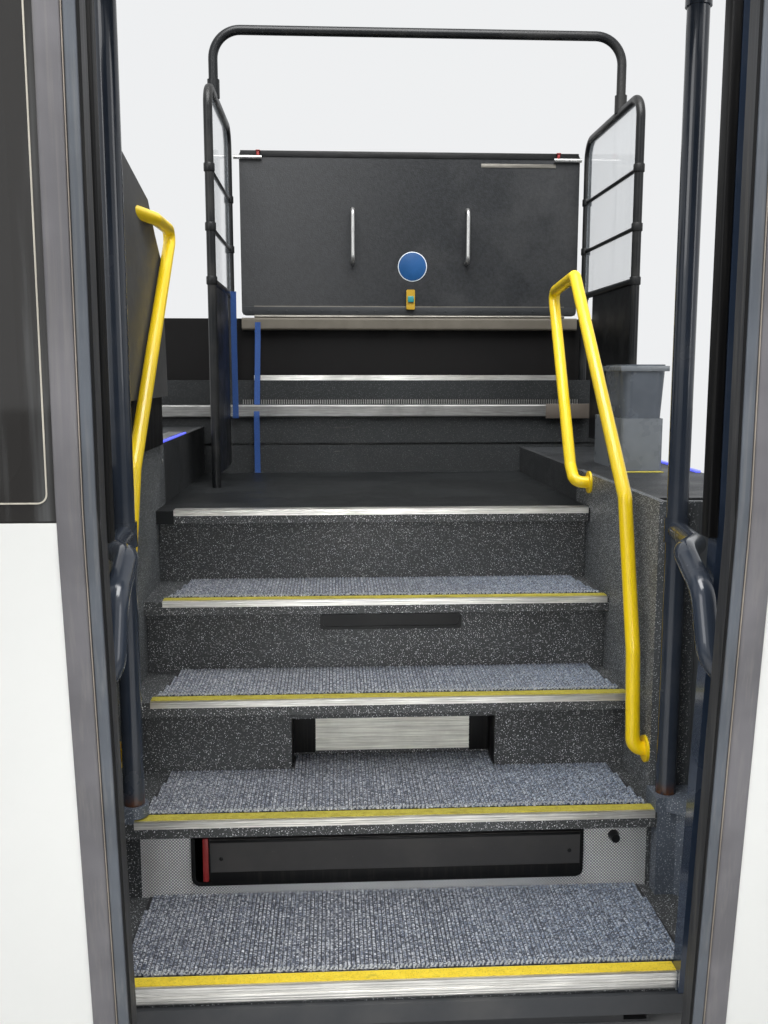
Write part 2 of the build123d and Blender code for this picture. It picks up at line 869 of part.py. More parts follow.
# Corner brackets that hold the feet of the columns.
with BuildPart() as corner_brackets:
    for (name, side, column_x), inner in zip(column_table, (wall_left, wall_right)):
        with BuildSketch(Plane.XY.offset(level(1))):
            with BuildLine():
                Polyline(
                    (side * niche_x, niche_y),
                    (side * niche_x, nose(1) - riser_setback),
                    (side * (niche_x - 1.5 * riser_setback), nose(1)),
                    (side * (nosing_half + panel_gap), nose(1)),
                    (side * (nosing_half + panel_gap), niche_y),
                    close=True,
                )
            make_face()
            with Locations((side * column_x, column_y)):
                Circle(journal_r + journal_fit, mode=Mode.SUBTRACT)
        extrude(amount=column_foot - level(1) - panel_gap)
        with BuildSketch(Plane.XY.offset(level(0))):
            with BuildLine():
                Polyline(
                    (side * niche_x, niche_y),
                    (side * niche_x, nose(1) - riser_setback),
                    (side * (niche_x - riser_setback), nose(1)),
                    (side * (inner + panel_gap), nose(1)),
                    (side * (inner + panel_gap), niche_y),
                    close=True,
                )
            make_face()
        extrude(amount=level(1) - level(0))
        with BuildSketch(Plane.XY.offset(column_foot - foot_pad_t)):
            with Locations((side * column_x, column_y)):
                Circle(foot_pad_r)
                Circle(journal_r + journal_fit, mode=Mode.SUBTRACT)
        extrude(amount=foot_pad_t - panel_gap)
save(corner_brackets.part, "corner_brackets")

# Rotary columns: tube, journals and two swan-neck arms with their pivot pins.
journal_foot = column_foot - foot_pad_t + lip_t
for name, side, column_x in column_table:
    pivot_x = column_x + pivot_out
    with BuildPart() as column:
        with BuildSketch(Plane.XY.offset(column_foot)):
            with Locations((side * column_x, column_y)):
                Circle(column_r)
        extrude(amount=header_low - panel_gap - column_foot)
        with BuildSketch(Plane.XY.offset(journal_foot)):
            with Locations((side * column_x, column_y)):
                Circle(journal_r)
        extrude(amount=header_low + journal_h - journal_foot)
        for start_z, end_z, bends in arm_table:
            with BuildLine() as arm_path:
                FilletPolyline(
                    (side * column_x, column_y, start_z),
                    (side * ((column_x + arm_pass) / 2 + arm_bow), arm_bow_y, (start_z + bends[0][1]) / 2),
                    *[(side * arm_pass, y, z) for y, z in bends],
                    (side * pivot_x, pivot_open_y, end_z),
                    radius=arm_bend,
                )
            arm_wire = arm_path.wires()[0]
            with BuildSketch(Plane(origin=arm_wire @ 0, z_dir=arm_wire % 0)):
                Circle(arm_r)
            sweep(path=arm_wire)
            with BuildSketch(Plane.XY.offset(start_z - collar_half)):
                with Locations((side * column_x, column_y)):
                    Circle(column_r + collar_t)
            extrude(amount=2 * collar_half)
            with BuildSketch(Plane.XY.offset(end_z - collar_half)):
                with Locations((side * pivot_x, pivot_open_y)):
                    Circle(arm_r + collar_t)
            extrude(amount=2 * collar_half)
            with BuildSketch(Plane.XY.offset(end_z - collar_half - lug_t - panel_gap)):
                with Locations((side * pivot_x, pivot_open_y)):
                    Circle(pin_r)
            extrude(amount=lug_t + arm_r)
    save(column.part, "column_" + name)

# Door leaves, parked open outside the body.
frame_in = leaf_edge_open + seal_w
frame_out = leaf_edge_open + leaf_w
for name, side, column_x in column_table:
    pivot_x = column_x + pivot_out
    mid = side * (frame_in + frame_out) / 2
    with BuildPart() as leaf_frame:
        with BuildSketch(Plane.YZ.offset(mid)):
            with BuildLine():
                tucked_band(leaf_inner_open - leaf_frame_t, leaf_inner_open, leaf_foot, leaf_top)
            make_face()
        extrude(amount=(frame_out - frame_in) / 2, both=True)
        with BuildSketch(Plane.XZ.offset(-leaf_inner_open)):
            with Locations((mid, (window_low + window_margin + leaf_top - window_head) / 2)):
                RectangleRounded(
                    frame_out - frame_in - 2 * window_margin,
                    leaf_top - window_head - window_low - window_margin,
                    window_r,
                )
        extrude(amount=leaf_frame_t, mode=Mode.SUBTRACT)
        for start_z, end_z, bends in arm_table:
            lug_root = leaf_inner_open + tuck_at(end_z) - lug_t / 2
            with BuildSketch(Plane.XY.offset(end_z - collar_half - lug_t - panel_gap)):
                with Locations((side * pivot_x, (lug_root + pivot_open_y) / 2)):
                    Rectangle(2 * lug_r, pivot_open_y - lug_root)
                with Locations((side * pivot_x, pivot_open_y)):
                    Circle(lug_r)
                    Circle(pin_r + journal_fit, mode=Mode.SUBTRACT)
            extrude(amount=lug_t)
    save(leaf_frame.part, "leaf_frame_" + name)
    with BuildPart() as leaf_panel:
        with BuildSketch(Plane.YZ.offset(mid)):
            with BuildLine():
                tucked_band(leaf_outer_open, leaf_outer_open + leaf_skin_t, leaf_foot, window_low - mat_gap)
            make_face()
        extrude(amount=(frame_out - frame_in) / 2, both=True)
    save(leaf_panel.part, "leaf_panel_" + name)
    with BuildPart() as leaf_glass:
        with BuildSketch(Plane.XZ.offset(-leaf_outer_open)):
            with Locations((mid, (window_low + leaf_top) / 2)):
                Rectangle(frame_out - frame_in, leaf_top - window_low)
        extrude(amount=-leaf_skin_t)
    save(leaf_glass.part, "leaf_glass_" + name)
    with BuildPart() as leaf_seal:
        with BuildSketch(Plane.YZ.offset(side * (leaf_edge_open + seal_w / 2))):
            with BuildLine():
                tucked_band(leaf_outer_open, leaf_inner_open, leaf_foot, leaf_top)
            make_face()
        extrude(amount=seal_w / 2, both=True)
    save(leaf_seal.part, "leaf_seal_" + name)

# Side screen with its two feet.
with BuildPart() as side_screen:
    with BuildSketch(Plane.YZ.offset(screen_x)):
        with BuildLine():
            Polyline(*screen_outline, close=True)
        make_face()
    extrude(amount=-screen_t)
    with BuildSketch(Plane.YZ.offset(screen_x - screen_t)):
        for y in screen_feet:
            with Locations((y, (wall_top_left + screen_foot_top) / 2)):
                Rectangle(screen_foot_w, screen_foot_top - wall_top_left)
    extrude(amount=-screen_t)
save(side_screen.part, "side_screen")

# Handrails, ending in flanges on the walls; the left one starts in the face of the screen.
rail_table = (
    # name, plane it is cut at, flanges as (x, y, z), route
    ("left", screen_x, ((-wall_left, -736, 470),), (
        (screen_x - flange_r, -470, 1761),
        (-608, -260, 1761),
        (-608, -4, 1764),
        (-608, -652, 1135),
        (-622, -740, 760),
        (-620, -736, 470),
        (-wall_left, -736, 470),
    )),
    ("right", wall_right, ((wall_right, -150, 1042), (wall_right, -733, 460)), (
        (wall_right, -150, 1042),
        (560, -150, 1042),
        (560, -95, 1085),
        (560, 190, 1612),
        (560, -88, 1637),
        (560, -645, 1061),
        (568, -725, 700),
        (573, -733, 460),
        (wall_right, -733, 460),
    )),
)
for name, face_x, flanges, route in rail_table:
    with BuildPart() as handrail:
        with BuildLine() as rail_path:
            FilletPolyline(*route, radius=rail_bend)
        rail_wire = rail_path.wires()[0]
        with BuildSketch(Plane(origin=rail_wire @ 0, z_dir=rail_wire % 0)):
            Circle(rail_tube_r)
        sweep(path=rail_wire)
        if face_x < 0:
            with Locations((face_x - flange_r, route[0][1], route[0][2])):
                Box(2 * flange_r, 14 * flange_r, 2 * flange_r, mode=Mode.SUBTRACT)
        for x, y, z in flanges:
            with BuildSketch(Plane.YZ.offset(x)):
                with Locations((y, z)):
                    Circle(flange_r)
            extrude(amount=-math.copysign(flange_t, x))
    save(handrail.part, "handrail_" + name)

# Waste bin: tapered tub standing in its holder.
with BuildPart() as bin_holder:
    with BuildSketch(Plane.XY.offset(wall_top_right)):
        with Locations((bin_x, holder_y)):
            RectangleRounded(holder_w, holder_d, 4 * bin_wall)
    extrude(amount=holder_h)
    with BuildSketch(Plane.XY.offset(wall_top_right + bin_wall)):
        with Locations((bin_x, holder_y)):
            RectangleRounded(holder_w - 2 * bin_wall, holder_d - 2 * bin_wall, 3 * bin_wall)
    extrude(amount=holder_h, mode=Mode.SUBTRACT)
save(bin_holder.part, "bin_holder")

bin_foot = wall_top_right + bin_wall
bin_taper = math.degrees(math.atan((bin_top_w - bin_base_w) / 2 / bin_h))
with BuildPart() as waste_bin:
    with BuildSketch(Plane.XY.offset(bin_foot)):
        with Locations((bin_x, bin_y)):
            RectangleRounded(bin_base_w, bin_base_d, bin_corner)
    extrude(amount=bin_h, taper=-bin_taper)
    with BuildSketch(Plane.XY.offset(bin_foot + bin_wall)):
        with Locations((bin_x, bin_y)):
            RectangleRounded(bin_base_w - 2 * bin_wall, bin_base_d - 2 * bin_wall, bin_corner - bin_wall)
    extrude(amount=bin_h, taper=-bin_taper, mode=Mode.SUBTRACT)
save(waste_bin.part, "waste_bin")

# Webbing straps as plain bands, each a route in Y and Z at its own x.
rail_reach = lower_rail_r + panel_gap
band_y = landing_back - podium_nose_t - strap_t / 2
strap_table = (
    # x of its left edge, route as (y, z)
    (left_x + rail_reach, (
        (band_y - 2 * strap_t, strap_start),
        (band_y - 2 * strap_t - strap_sag, strap_start - strap_drop),
        (band_y - 2 * strap_t, strap_start - strap_hang),
    )),
    (trim_left + strap_t, (
        (sill_front - strap_t / 2, sill_top - lining_t),
        (band_y, podium_top + strap_t),
        (band_y, podium_nose_low),
        (band_y - strap_t, level(4) + strap_t / 2),
    )),
    (right_x + rail_reach, (
        (band_y - strap_hang / 6, strap_start),
        (band_y - strap_hang / 6 + strap_sag, strap_start - strap_drop),
        (band_y - strap_hang / 12, strap_start - strap_hang),
    )),
    (right_x + rail_reach, (
        (band_y - strap_hang / 4, strap_start),
        (band_y - strap_hang / 4 - strap_sag, strap_start - strap_drop),
        (band_y - strap_hang / 4 + strap_sag, wall_top_right + strap_t / 2),
    )),
)
with BuildPart() as straps:
    for x, route in strap_table:
        with BuildSketch(Plane.YZ.offset(x)):
            with BuildLine():
                Polyline(*route)
            trace(line_width=strap_t)
        extrude(amount=strap_w)
save(straps.part, "straps")
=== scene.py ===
"""Looks of the stepped entrance of a high-floor bus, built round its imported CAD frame."""
import math
import random

import bmesh
import bpy
from mathutils import Matrix, Vector


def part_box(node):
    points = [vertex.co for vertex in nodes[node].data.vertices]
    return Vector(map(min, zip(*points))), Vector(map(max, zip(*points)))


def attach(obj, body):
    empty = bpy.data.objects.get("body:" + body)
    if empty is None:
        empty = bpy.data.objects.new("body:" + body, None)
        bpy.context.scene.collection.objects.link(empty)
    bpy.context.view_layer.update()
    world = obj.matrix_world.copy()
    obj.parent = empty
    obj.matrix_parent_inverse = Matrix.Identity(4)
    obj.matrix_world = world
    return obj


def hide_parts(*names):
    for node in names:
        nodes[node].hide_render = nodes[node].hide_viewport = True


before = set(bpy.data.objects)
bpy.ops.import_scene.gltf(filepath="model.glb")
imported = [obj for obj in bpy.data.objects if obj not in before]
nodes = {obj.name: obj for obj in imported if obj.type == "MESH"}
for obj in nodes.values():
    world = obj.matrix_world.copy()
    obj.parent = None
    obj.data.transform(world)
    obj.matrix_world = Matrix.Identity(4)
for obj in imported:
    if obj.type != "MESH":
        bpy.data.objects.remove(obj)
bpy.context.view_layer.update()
ROOT = "stairwell"
SIDES = (("left", -1), ("right", 1))

# Sizes that the pieces share with the CAD source, in metres.
STEPS = ((-1.140, 0.140), (-0.835, 0.345), (-0.600, 0.548), (-0.388, 0.753), (-0.165, 0.967))
SETBACK = 0.050
NOSING_HALF = 0.600
FLANGE = 0.040
MAT_THICK = 0.008
MAT_HALF = 0.590
MAT_PITCH = 0.0090
MAT_LEAD = 0.003
TUCK_FROM = 1.120
TUCK_FOOT = 0.100
TUCK_DEEP = 0.092
OUTER_FACE = -1.406
LEAF_OUT = 1.112
LEAF_FOOT = 0.100
LEAF_TOP = 2.200
BOARD_FACE = 1.062
BOARD_LEFT = -0.500
BOARD_RIGHT = 0.845
SIGN_AT = (0.180, BOARD_FACE, 1.782)
STRAP_WIDE = 0.022
STRAP_THICK = 0.0018
GUARD_BARS = (2.030, 1.840, 1.665)
WALL_LEFT = -0.650
WALL_RIGHT = 0.605


# ---- shader toolkit


class Wire:
    """An output of a shader node; Python arithmetic on it adds Math nodes."""

    def __init__(self, finish, socket):
        self.finish = finish
        self.socket = socket

    def __add__(self, other):
        return self.finish.maths("ADD", self, other)

    def __sub__(self, other):
        return self.finish.maths("SUBTRACT", self, other)

    def __rsub__(self, other):
        return self.finish.maths("SUBTRACT", other, self)

    def __mul__(self, other):
        return self.finish.maths("MULTIPLY", self, other)

    __radd__ = __add__
    __rmul__ = __mul__


class Finish:
    """A material under construction, with one method that adds any node."""

    def __init__(self, name):
        self.material = bpy.data.materials.new(name)
        self.material.use_nodes = True
        self.tree = self.material.node_tree
        self.tree.nodes.clear()
        self.place = self.node("TexCoord", out="Object")

    def node(self, kind, settings=None, sockets=None, out=0):
        made = self.tree.nodes.new("ShaderNode" + kind)
        for key, value in (settings or {}).items():
            setattr(made, key, value)
        for key, value in (sockets or {}).items():
            if isinstance(value, Wire):
                self.tree.links.new(value.socket, made.inputs[key])
            else:
                made.inputs[key].default_value = value
        return Wire(self, made.outputs[out])

    def maths(self, operation, *values):
        return self.node("Math", {"operation": operation}, dict(enumerate(values)))

    def mix(self, factor, first, second):
        return self.node("Mix", {"data_type": "RGBA"}, {0: factor, 6: first, 7: second}, 2)

    def ramp(self, value, low, high, start=0.0, end=1.0):
        """Value eased from start at low to end at high."""
        sockets = {"Value": value, "From Min": low, "From Max": high, "To Min": start, "To Max": end}
        return self.node("MapRange", {"interpolation_type": "SMOOTHSTEP"}, sockets, "Result")

    def axis(self, name):
        return self.node("SeparateXYZ", None, {0: self.place}, name)

    def stretched(self, stretch):
        return self.node("Mapping", None, {"Vector": self.place, "Scale": stretch})

    def noise(self, scale, detail=2.0, rough=0.5, stretch=None):
        where = self.stretched(stretch) if stretch else self.place
        sockets = {"Vector": where, "Scale": scale, "Detail": detail, "Roughness": rough}
        return self.node("TexNoise", None, sockets, 0)

    def cells(self, scale, stretch=None, feature="F1", jitter=1.0, out="Distance"):
        where = self.stretched(stretch) if stretch else self.place
        sockets = {"Vector": where, "Scale": scale, "Randomness": jitter}
        return self.node("TexVoronoi", {"feature": feature}, sockets, out)

    def chance(self, scale, stretch=None):
        """A random number for each cell of the pattern at this scale."""
        return self.node("SeparateXYZ", None, {0: self.cells(scale, stretch, out="Color")}, "X")

    def bump(self, height, distance, strength=1.0, under=None):
        sockets = {"Height": height, "Distance": distance, "Strength": strength}
        if under:
            sockets["Normal"] = under
        return self.node("Bump", None, sockets)

    def surface(self, **sockets):
        named = {key.replace("_", " "): value for key, value in sockets.items()}
        shaded = self.node("BsdfPrincipled", None, named)
        output = self.tree.nodes.new("ShaderNodeOutputMaterial")
        self.tree.links.new(shaded.socket, output.inputs["Surface"])
        return self.material


def tone(red, green, blue):
    """Linear colour of a display colour given in 0 to 255."""
    linear = [(c / 255 / 12.92 if c < 11 else ((c / 255 + 0.055) / 1.055) ** 2.4) for c in (red, green, blue)]
    return (*linear, 1.0)


def shade(colour, factor):
    return (*[min(1.0, c * factor) for c in colour[:3]], 1.0)


# ---- finishes


def speckled_vinyl(name, base, fleck, amount=1.0, sheen=0.55, gloss=0.5, plain_from=None):
    """Vinyl with fine flecks of uneven brightness, dusty and scuffed.

    Behind plain_from in Y the inner faces carry painted shade, dark and almost plain, and the outer faces
    have no flecks.
    """
    f = Finish(name)
    dirt = f.ramp(f.noise(3.2, 4.0, 0.6), 0.35, 0.7)
    cloth = f.mix(dirt, shade(base, 0.82), shade(base, 1.25))
    big = f.ramp(f.cells(170.0), 0.26, 0.14) * f.ramp(f.chance(170.0), 0.60, 0.80)
    fine = f.ramp(f.cells(360.0), 0.42, 0.22) * f.ramp(f.chance(360.0), 0.52, 0.88)
    flecks = f.maths("MAXIMUM", big, fine * 0.8)
    if plain_from is not None:
        across = f.maths("ABSOLUTE", f.axis("X"))
        inner_face = 1 - f.ramp(across, 0.660, 0.670)
        # Painted shade: inner faces behind plain_from are darkened and lose most of their flecks.
        behind = f.ramp(f.axis("Y"), plain_from - 0.01, plain_from + 0.01) * inner_face
        outside = f.ramp(across, 0.690, 0.700)
        cloth = f.mix(behind, cloth, shade(base, 0.30))
        flecks = flecks * (1 - behind * 0.85) * (1 - outside)
    flecked = f.mix(flecks * amount, cloth, fleck)
    scuff = f.ramp(f.noise(9.0, 5.0, 0.7, (0.5, 4.0, 3.0)), 0.66, 0.78)
    colour = f.mix(scuff * 0.16, flecked, tone(150, 148, 142))
    grain = f.noise(700.0, 2.0, 0.6)
    rough = f.ramp(dirt, 0.0, 1.0, sheen - 0.07, sheen + 0.12)
    return f.surface(Base_Color=colour, Roughness=rough, Normal=f.bump(grain, 0.0006, 0.35),
                     Specular_IOR_Level=gloss)


def loop_pile(name):
    """Ribbed loop-pile mat in mixed blue-grey yarns, with painted shade down between the loops and a painted
    bluish skylight towards the right.
    """
    f = Finish(name)
    loops = f.cells(300.0, (0.55, 1.0, 0.5), jitter=0.8)
    yarn = f.chance(300.0, (0.55, 1.0, 0.5))
    crown = f.ramp(loops, 0.72, 0.24)
    pale = f.mix(f.ramp(yarn, 0.15, 0.95), tone(116, 127, 148), tone(244, 247, 252))
    worn = f.ramp(f.noise(4.5, 3.0, 0.6), 0.35, 0.68)
    lit = f.mix(worn * 0.25, pale, tone(168, 168, 170))
    # Painted light: a bluish skylight tint that grows towards the right.
    painted_skylight = f.mix(f.ramp(f.axis("X"), -0.2, 0.6) * 0.3, lit, tone(124, 160, 200))
    # Painted shade: dark tone down between the loop crowns.
    colour = f.mix(crown, tone(50, 57, 72), painted_skylight)
    fluff = f.noise(900.0, 3.0, 0.7)
    normal = f.bump(crown, 0.0022, 0.7, f.bump(fluff, 0.0008, 0.5))
    return f.surface(Base_Color=colour, Roughness=0.93, Normal=normal, Sheen_Weight=0.25)


def brushed(name, base, along=(0.04, 1.0, 1.0), rough=0.34, dirt=0.5, ribs=None, metal=0.92):
    """Brushed metal with streaks along one direction, grime and dull patches."""
    f = Finish(name)
    streak = f.noise(260.0, 3.0, 0.6, along)
    cloudy = f.ramp(f.noise(7.0, 4.0, 0.65), 0.42, 0.75)
    grime = f.ramp(f.noise(38.0, 5.0, 0.7, along), 0.55, 0.8)
    bright = f.mix(f.ramp(streak, 0.3, 0.7), shade(base, 0.72), shade(base, 1.12))
    dull = f.mix(cloudy * 0.4, bright, shade(base, 0.55))
    colour = f.mix(grime * dirt, dull, tone(64, 60, 55))
    shine = rough + f.ramp(cloudy, 0.0, 1.0, 0.0, 0.22) + grime * (0.3 * dirt)
    pure = metal - grime * (0.6 * dirt)
    height = streak
    if ribs:
        height = f.ramp(f.maths("SINE", f.axis("Z") * ribs), -0.4, 0.6) * 2.0 + streak * 0.2
    return f.surface(Base_Color=colour, Metallic=pure, Roughness=shine, Normal=f.bump(height, 0.0008, 0.5))


def grip_tape():
    """Gritty yellow tape, bright on the lowest step and darker, more olive on the upper ones."""
    f = Finish("grip_tape")
    # Darker, more olive yellow on every step above the lowest.
    upper = f.ramp(f.axis("Z"), 0.20, 0.30)
    lowest_step_yellow = f.mix(f.noise(60.0, 3.0, 0.6), tone(218, 184, 22), tone(246, 222, 70))
    upper_steps_olive = f.mix(f.noise(60.0, 3.0, 0.6), tone(148, 136, 34), tone(206, 194, 84))
    base = f.mix(upper, lowest_step_yellow, upper_steps_olive)
    wear = f.ramp(f.noise(22.0, 5.0, 0.75, (0.5, 1.5, 1.0)), 0.54, 0.72)
    pits = f.ramp(f.cells(380.0), 0.5, 0.2) * f.ramp(f.chance(380.0), 0.45, 0.75)
    dark = f.maths("MAXIMUM", wear * 0.6, pits * 0.55)
    colour = f.mix(dark, base, tone(74, 66, 38))
    grit = f.cells(560.0)
    return f.surface(Base_Color=colour, Roughness=0.82, Normal=f.bump(grit, 0.0009, 0.8))


def stucco_metal():
    """Embossed sheet: staggered rows of small pillows, painted bright on top as a highlight and dark in the
    hollows as shade.
    """
    f = Finish("embossed_sheet")
    pitch = 2 * math.pi / 0.0150
    across = f.maths("SINE", (f.axis("X") + f.axis("Z")) * pitch)
    along = f.maths("SINE", (f.axis("X") - f.axis("Z")) * pitch)
    pillow = f.maths("ABSOLUTE", across * along)
    cloudy = f.noise(8.0, 4.0, 0.6)
    # Painted highlight on the pillow tops and painted shade in the hollows.
    base = f.mix(f.ramp(pillow, 0.12, 0.62), tone(118, 121, 128), tone(252, 252, 250))
    colour = f.mix(f.ramp(cloudy, 0.45, 0.75) * 0.35, base, tone(160, 154, 142))
    rough = f.ramp(cloudy, 0.3, 0.7, 0.34, 0.50)
    return f.surface(Base_Color=colour, Metallic=0.25, Roughness=rough, Normal=f.bump(pillow, 0.0014, 0.6))


def paint(name, base, rough=0.35, chips=0.3, chip_tone=None, coat=0.0, dust=0.15, foot_rust=0.0,
          gloss=0.5, uneven=0.04):
    """Coated metal: uneven gloss, dust in patches and small chips, with rust below the height foot_rust."""
    f = Finish(name)
    patch = f.ramp(f.noise(6.0, 4.0, 0.6), 0.4, 0.72)
    body = f.mix(patch, shade(base, 1 - uneven), shade(base, 1 + uneven * 0.8))
    dusty = f.mix(patch * dust, body, tone(158, 152, 142))
    spots = f.ramp(f.noise(85.0, 4.0, 0.7), 0.69, 0.74) * chips
    scratched = f.ramp(f.noise(30.0, 5.0, 0.75, (6.0, 6.0, 0.8)), 0.70, 0.76) * (chips * 0.7)
    marks = f.maths("MAXIMUM", spots, scratched)
    colour = f.mix(marks, dusty, chip_tone or shade(base, 0.35))
    if foot_rust:
        low = f.ramp(f.axis("Z"), foot_rust + 0.035, foot_rust)
        rust = low * f.ramp(f.noise(34.0, 6.0, 0.7), 0.34, 0.52)
        colour = f.mix(rust, colour, f.mix(f.noise(120.0, 3.0), tone(26, 22, 20), tone(112, 70, 44)))
    shine = f.ramp(patch, 0.0, 1.0, rough, rough + 3 * uneven) + marks * 0.25
    skin = f.noise(240.0, 2.0, 0.5)
    return f.surface(Base_Color=colour, Roughness=shine, Normal=f.bump(skin, 0.0005, 0.12), Coat_Weight=coat,
                     Specular_IOR_Level=gloss)


def rubber(name, base, streaks=0.35, gloss=0.5):
    """Matte rubber with rain and dust streaks that run down it."""
    f = Finish(name)
    run = f.noise(110.0, 4.0, 0.6, (1.0, 1.0, 0.03))
    cloud = f.noise(5.0, 3.0, 0.6)
    base_mix = f.mix(f.ramp(cloud, 0.35, 0.7), shade(base, 0.85), shade(base, 1.18))
    colour = f.mix(f.ramp(run, 0.45, 0.75) * streaks, base_mix, tone(168, 164, 156))
    rough = f.ramp(run, 0.3, 0.7, 0.48, 0.68)
    return f.surface(Base_Color=colour, Roughness=rough, Normal=f.bump(f.noise(520.0, 2.0), 0.0006, 0.3),
                     Specular_IOR_Level=gloss)


def moulded(name, base, rough=0.5, grain=420.0, scuffs=0.2, gloss=0.5):
    """Moulded plastic with a fine grain and pale scuffs."""
    f = Finish(name)
    cloud = f.ramp(f.noise(9.0, 3.0, 0.6), 0.35, 0.7)
    body = f.mix(cloud, shade(base, 0.9), shade(base, 1.12))
    rub = f.ramp(f.noise(24.0, 5.0, 0.75, (3.0, 1.0, 1.0)), 0.66, 0.78)
    colour = f.mix(rub * scuffs, body, tone(170, 168, 164))
    shine = f.ramp(cloud, 0.0, 1.0, rough - 0.06, rough + 0.08)
    return f.surface(Base_Color=colour, Roughness=shine, Normal=f.bump(f.cells(grain), 0.0004, 0.3),
                     Specular_IOR_Level=gloss)


def leathercloth():
    """Dark grained covering of the board, dusty in broad patches, with a painted sheen that grows towards the
    left and a few rubbed lines.
    """
    f = Finish("grained_covering")
    grain = f.cells(260.0, feature="SMOOTH_F1")
    crease = f.noise(90.0, 4.0, 0.6)
    dust = f.ramp(f.noise(2.2, 5.0, 0.62), 0.40, 0.72)
    # Painted sheen: the covering grows paler towards the left.
    left = f.ramp(f.axis("X"), 0.35, -0.45)
    base = f.mix(f.ramp(crease, 0.3, 0.7), tone(24, 26, 28), tone(36, 38, 41))
    dust_and_sheen = f.maths("MAXIMUM", dust * 0.14, left * 0.20)
    colour = f.mix(dust_and_sheen, base, tone(112, 112, 112))
    rubbed = f.ramp(f.noise(13.0, 6.0, 0.75, (0.6, 1.0, 3.2)), 0.69, 0.76)
    marked = f.mix(rubbed * 0.25, colour, tone(142, 140, 138))
    rough = f.ramp(dust, 0.0, 1.0, 0.44, 0.62)
    return f.surface(Base_Color=marked, Roughness=rough, Normal=f.bump(grain + crease * 0.5, 0.0012, 0.35),
                     Specular_IOR_Level=0.28)


def woven_strap():
    """Polyester webbing: slanting ribs across its width, with paler worn threads."""
    f = Finish("blue_webbing")
    pick = f.maths("SINE", f.axis("Z") * (2 * math.pi / 0.0026) + f.axis("X") * (2 * math.pi / 0.006))
    ridge = f.ramp(pick, -0.7, 0.8)
    thread = f.noise(420.0, 3.0, 0.6)
    base = f.mix(ridge, tone(5, 36, 82), tone(18, 74, 146))
    colour = f.mix(f.ramp(thread, 0.55, 0.75) * 0.35, base, tone(84, 124, 172))
    return f.surface(Base_Color=colour, Roughness=0.78, Normal=f.bump(ridge, 0.0007, 0.8), Sheen_Weight=0.2)


def glazing(name, base, alpha, rough=0.05, streaks=0.2):
    """Pane with faint streaks that run down it."""
    f = Finish(name)
    run = f.ramp(f.noise(14.0, 4.0, 0.65, (1.0, 1.0, 0.05)), 0.5, 0.8)
    colour = f.mix(run * streaks, base, tone(214, 218, 220))
    seen = run * (streaks * 0.5) + alpha
    return f.surface(Base_Color=colour, Alpha=seen, Roughness=rough, Specular_IOR_Level=0.6)


def lamp(name, low, high, strength=1.2):
    """Lit diffuser strip, its glow varying in patches."""
    f = Finish(name)
    glow = f.mix(f.noise(30.0, 2.0), low, high)
    return f.surface(Base_Color=glow, Roughness=0.4, Emission_Color=glow, Emission_Strength=strength)


VINYL = speckled_vinyl("step_vinyl", tone(60, 62, 63), tone(246, 248, 250), 1.0, 0.5, 0.4)
WALL_VINYL = speckled_vinyl("wall_vinyl", tone(80, 83, 85), tone(246, 248, 250), 1.0, 0.5, 0.4, 0.0)
# The deck, landing and rear vinyls are darker copies of the step vinyl; their darkness is painted shade of
# the dim interior.
DECK_VINYL = speckled_vinyl("deck_vinyl", tone(38, 40, 42), tone(200, 204, 208), 0.35, 0.5, 0.25)
LEDGE = speckled_vinyl("ledge_vinyl", tone(80, 87, 97), tone(220, 226, 232), 0.8, 0.45)
PLAIN_FLOOR = speckled_vinyl("landing_vinyl", tone(26, 28, 29), tone(80, 82, 84), 0.2, 0.46, 0.2)
REAR_VINYL = speckled_vinyl("rear_vinyl", tone(34, 36, 37), tone(130, 134, 136), 0.4, 0.5, 0.25)
PILE = loop_pile("loop_pile")
FRINGE = moulded("fringe_yarn", tone(168, 171, 172), 0.9, 700.0, 0.1)
BACKING = rubber("mat_backing", tone(30, 31, 34), 0.1)
NOSING = brushed("nosing_alloy", tone(238, 236, 230), rough=0.30, dirt=0.22, ribs=2 * math.pi / 0.0055)
BRIGHT = brushed("bright_alloy", tone(222, 221, 216), (0.05, 1.0, 1.0), 0.28, 0.2)
SLATTED = brushed("slat_alloy", tone(246, 243, 232), (0.03, 1.0, 1.0), 0.45, 0.04, metal=0.12)
PODIUM_ALLOY = brushed("podium_alloy", tone(138, 138, 136), (0.04, 1.0, 1.0), 0.44, 0.45)
HINGE_ALLOY = brushed("hinge_alloy", tone(128, 125, 118), (0.05, 1.0, 1.0), 0.36, 0.4)
UPRIGHT = brushed("upright_alloy", tone(206, 206, 204), (1.0, 1.0, 0.05), 0.28, 0.25)
TAPE = grip_tape()
EMBOSSED = stucco_metal()
FRAME_PAINT = paint("frame_coating", tone(52, 54, 57), 0.5, 0.3, tone(96, 62, 42), dust=0.07)
COLUMN = paint("column_coating", tone(44, 51, 62), 0.17, 0.10, tone(22, 24, 28), 0.25, 0.04, 0.380, 0.4)
YELLOW = paint("yellow_coating", tone(250, 214, 14), 0.30, 0.3, tone(110, 84, 20), 0.25, 0.03)
BLACK = paint("black_coating", tone(16, 18, 20), 0.34, 0.25, tone(110, 114, 120), 0.0, 0.04, 0.0, 0.3)
DOOR_WHITE = paint("door_gloss", tone(234, 234, 230), 0.22, 0.03, tone(190, 188, 182), 0.4, 0.0, uneven=0.006)
DOOR_EDGE = paint("door_edge_coating", tone(48, 46, 45), 0.30, 0.2, tone(30, 30, 32), 0.1, 0.12, 0.0, 0.3)
POST = paint("post_coating", tone(42, 53, 70), 0.18, 0.12, tone(20, 24, 30), 0.25, 0.04, 0.0, 0.4)
SCREEN = moulded("screen_cover", tone(78, 78, 78), 0.55, 380.0, 0.12, 0.3)
BROWN = moulded("brown_lining", tone(15, 14, 14), 0.6, 300.0, 0.04, 0.15)
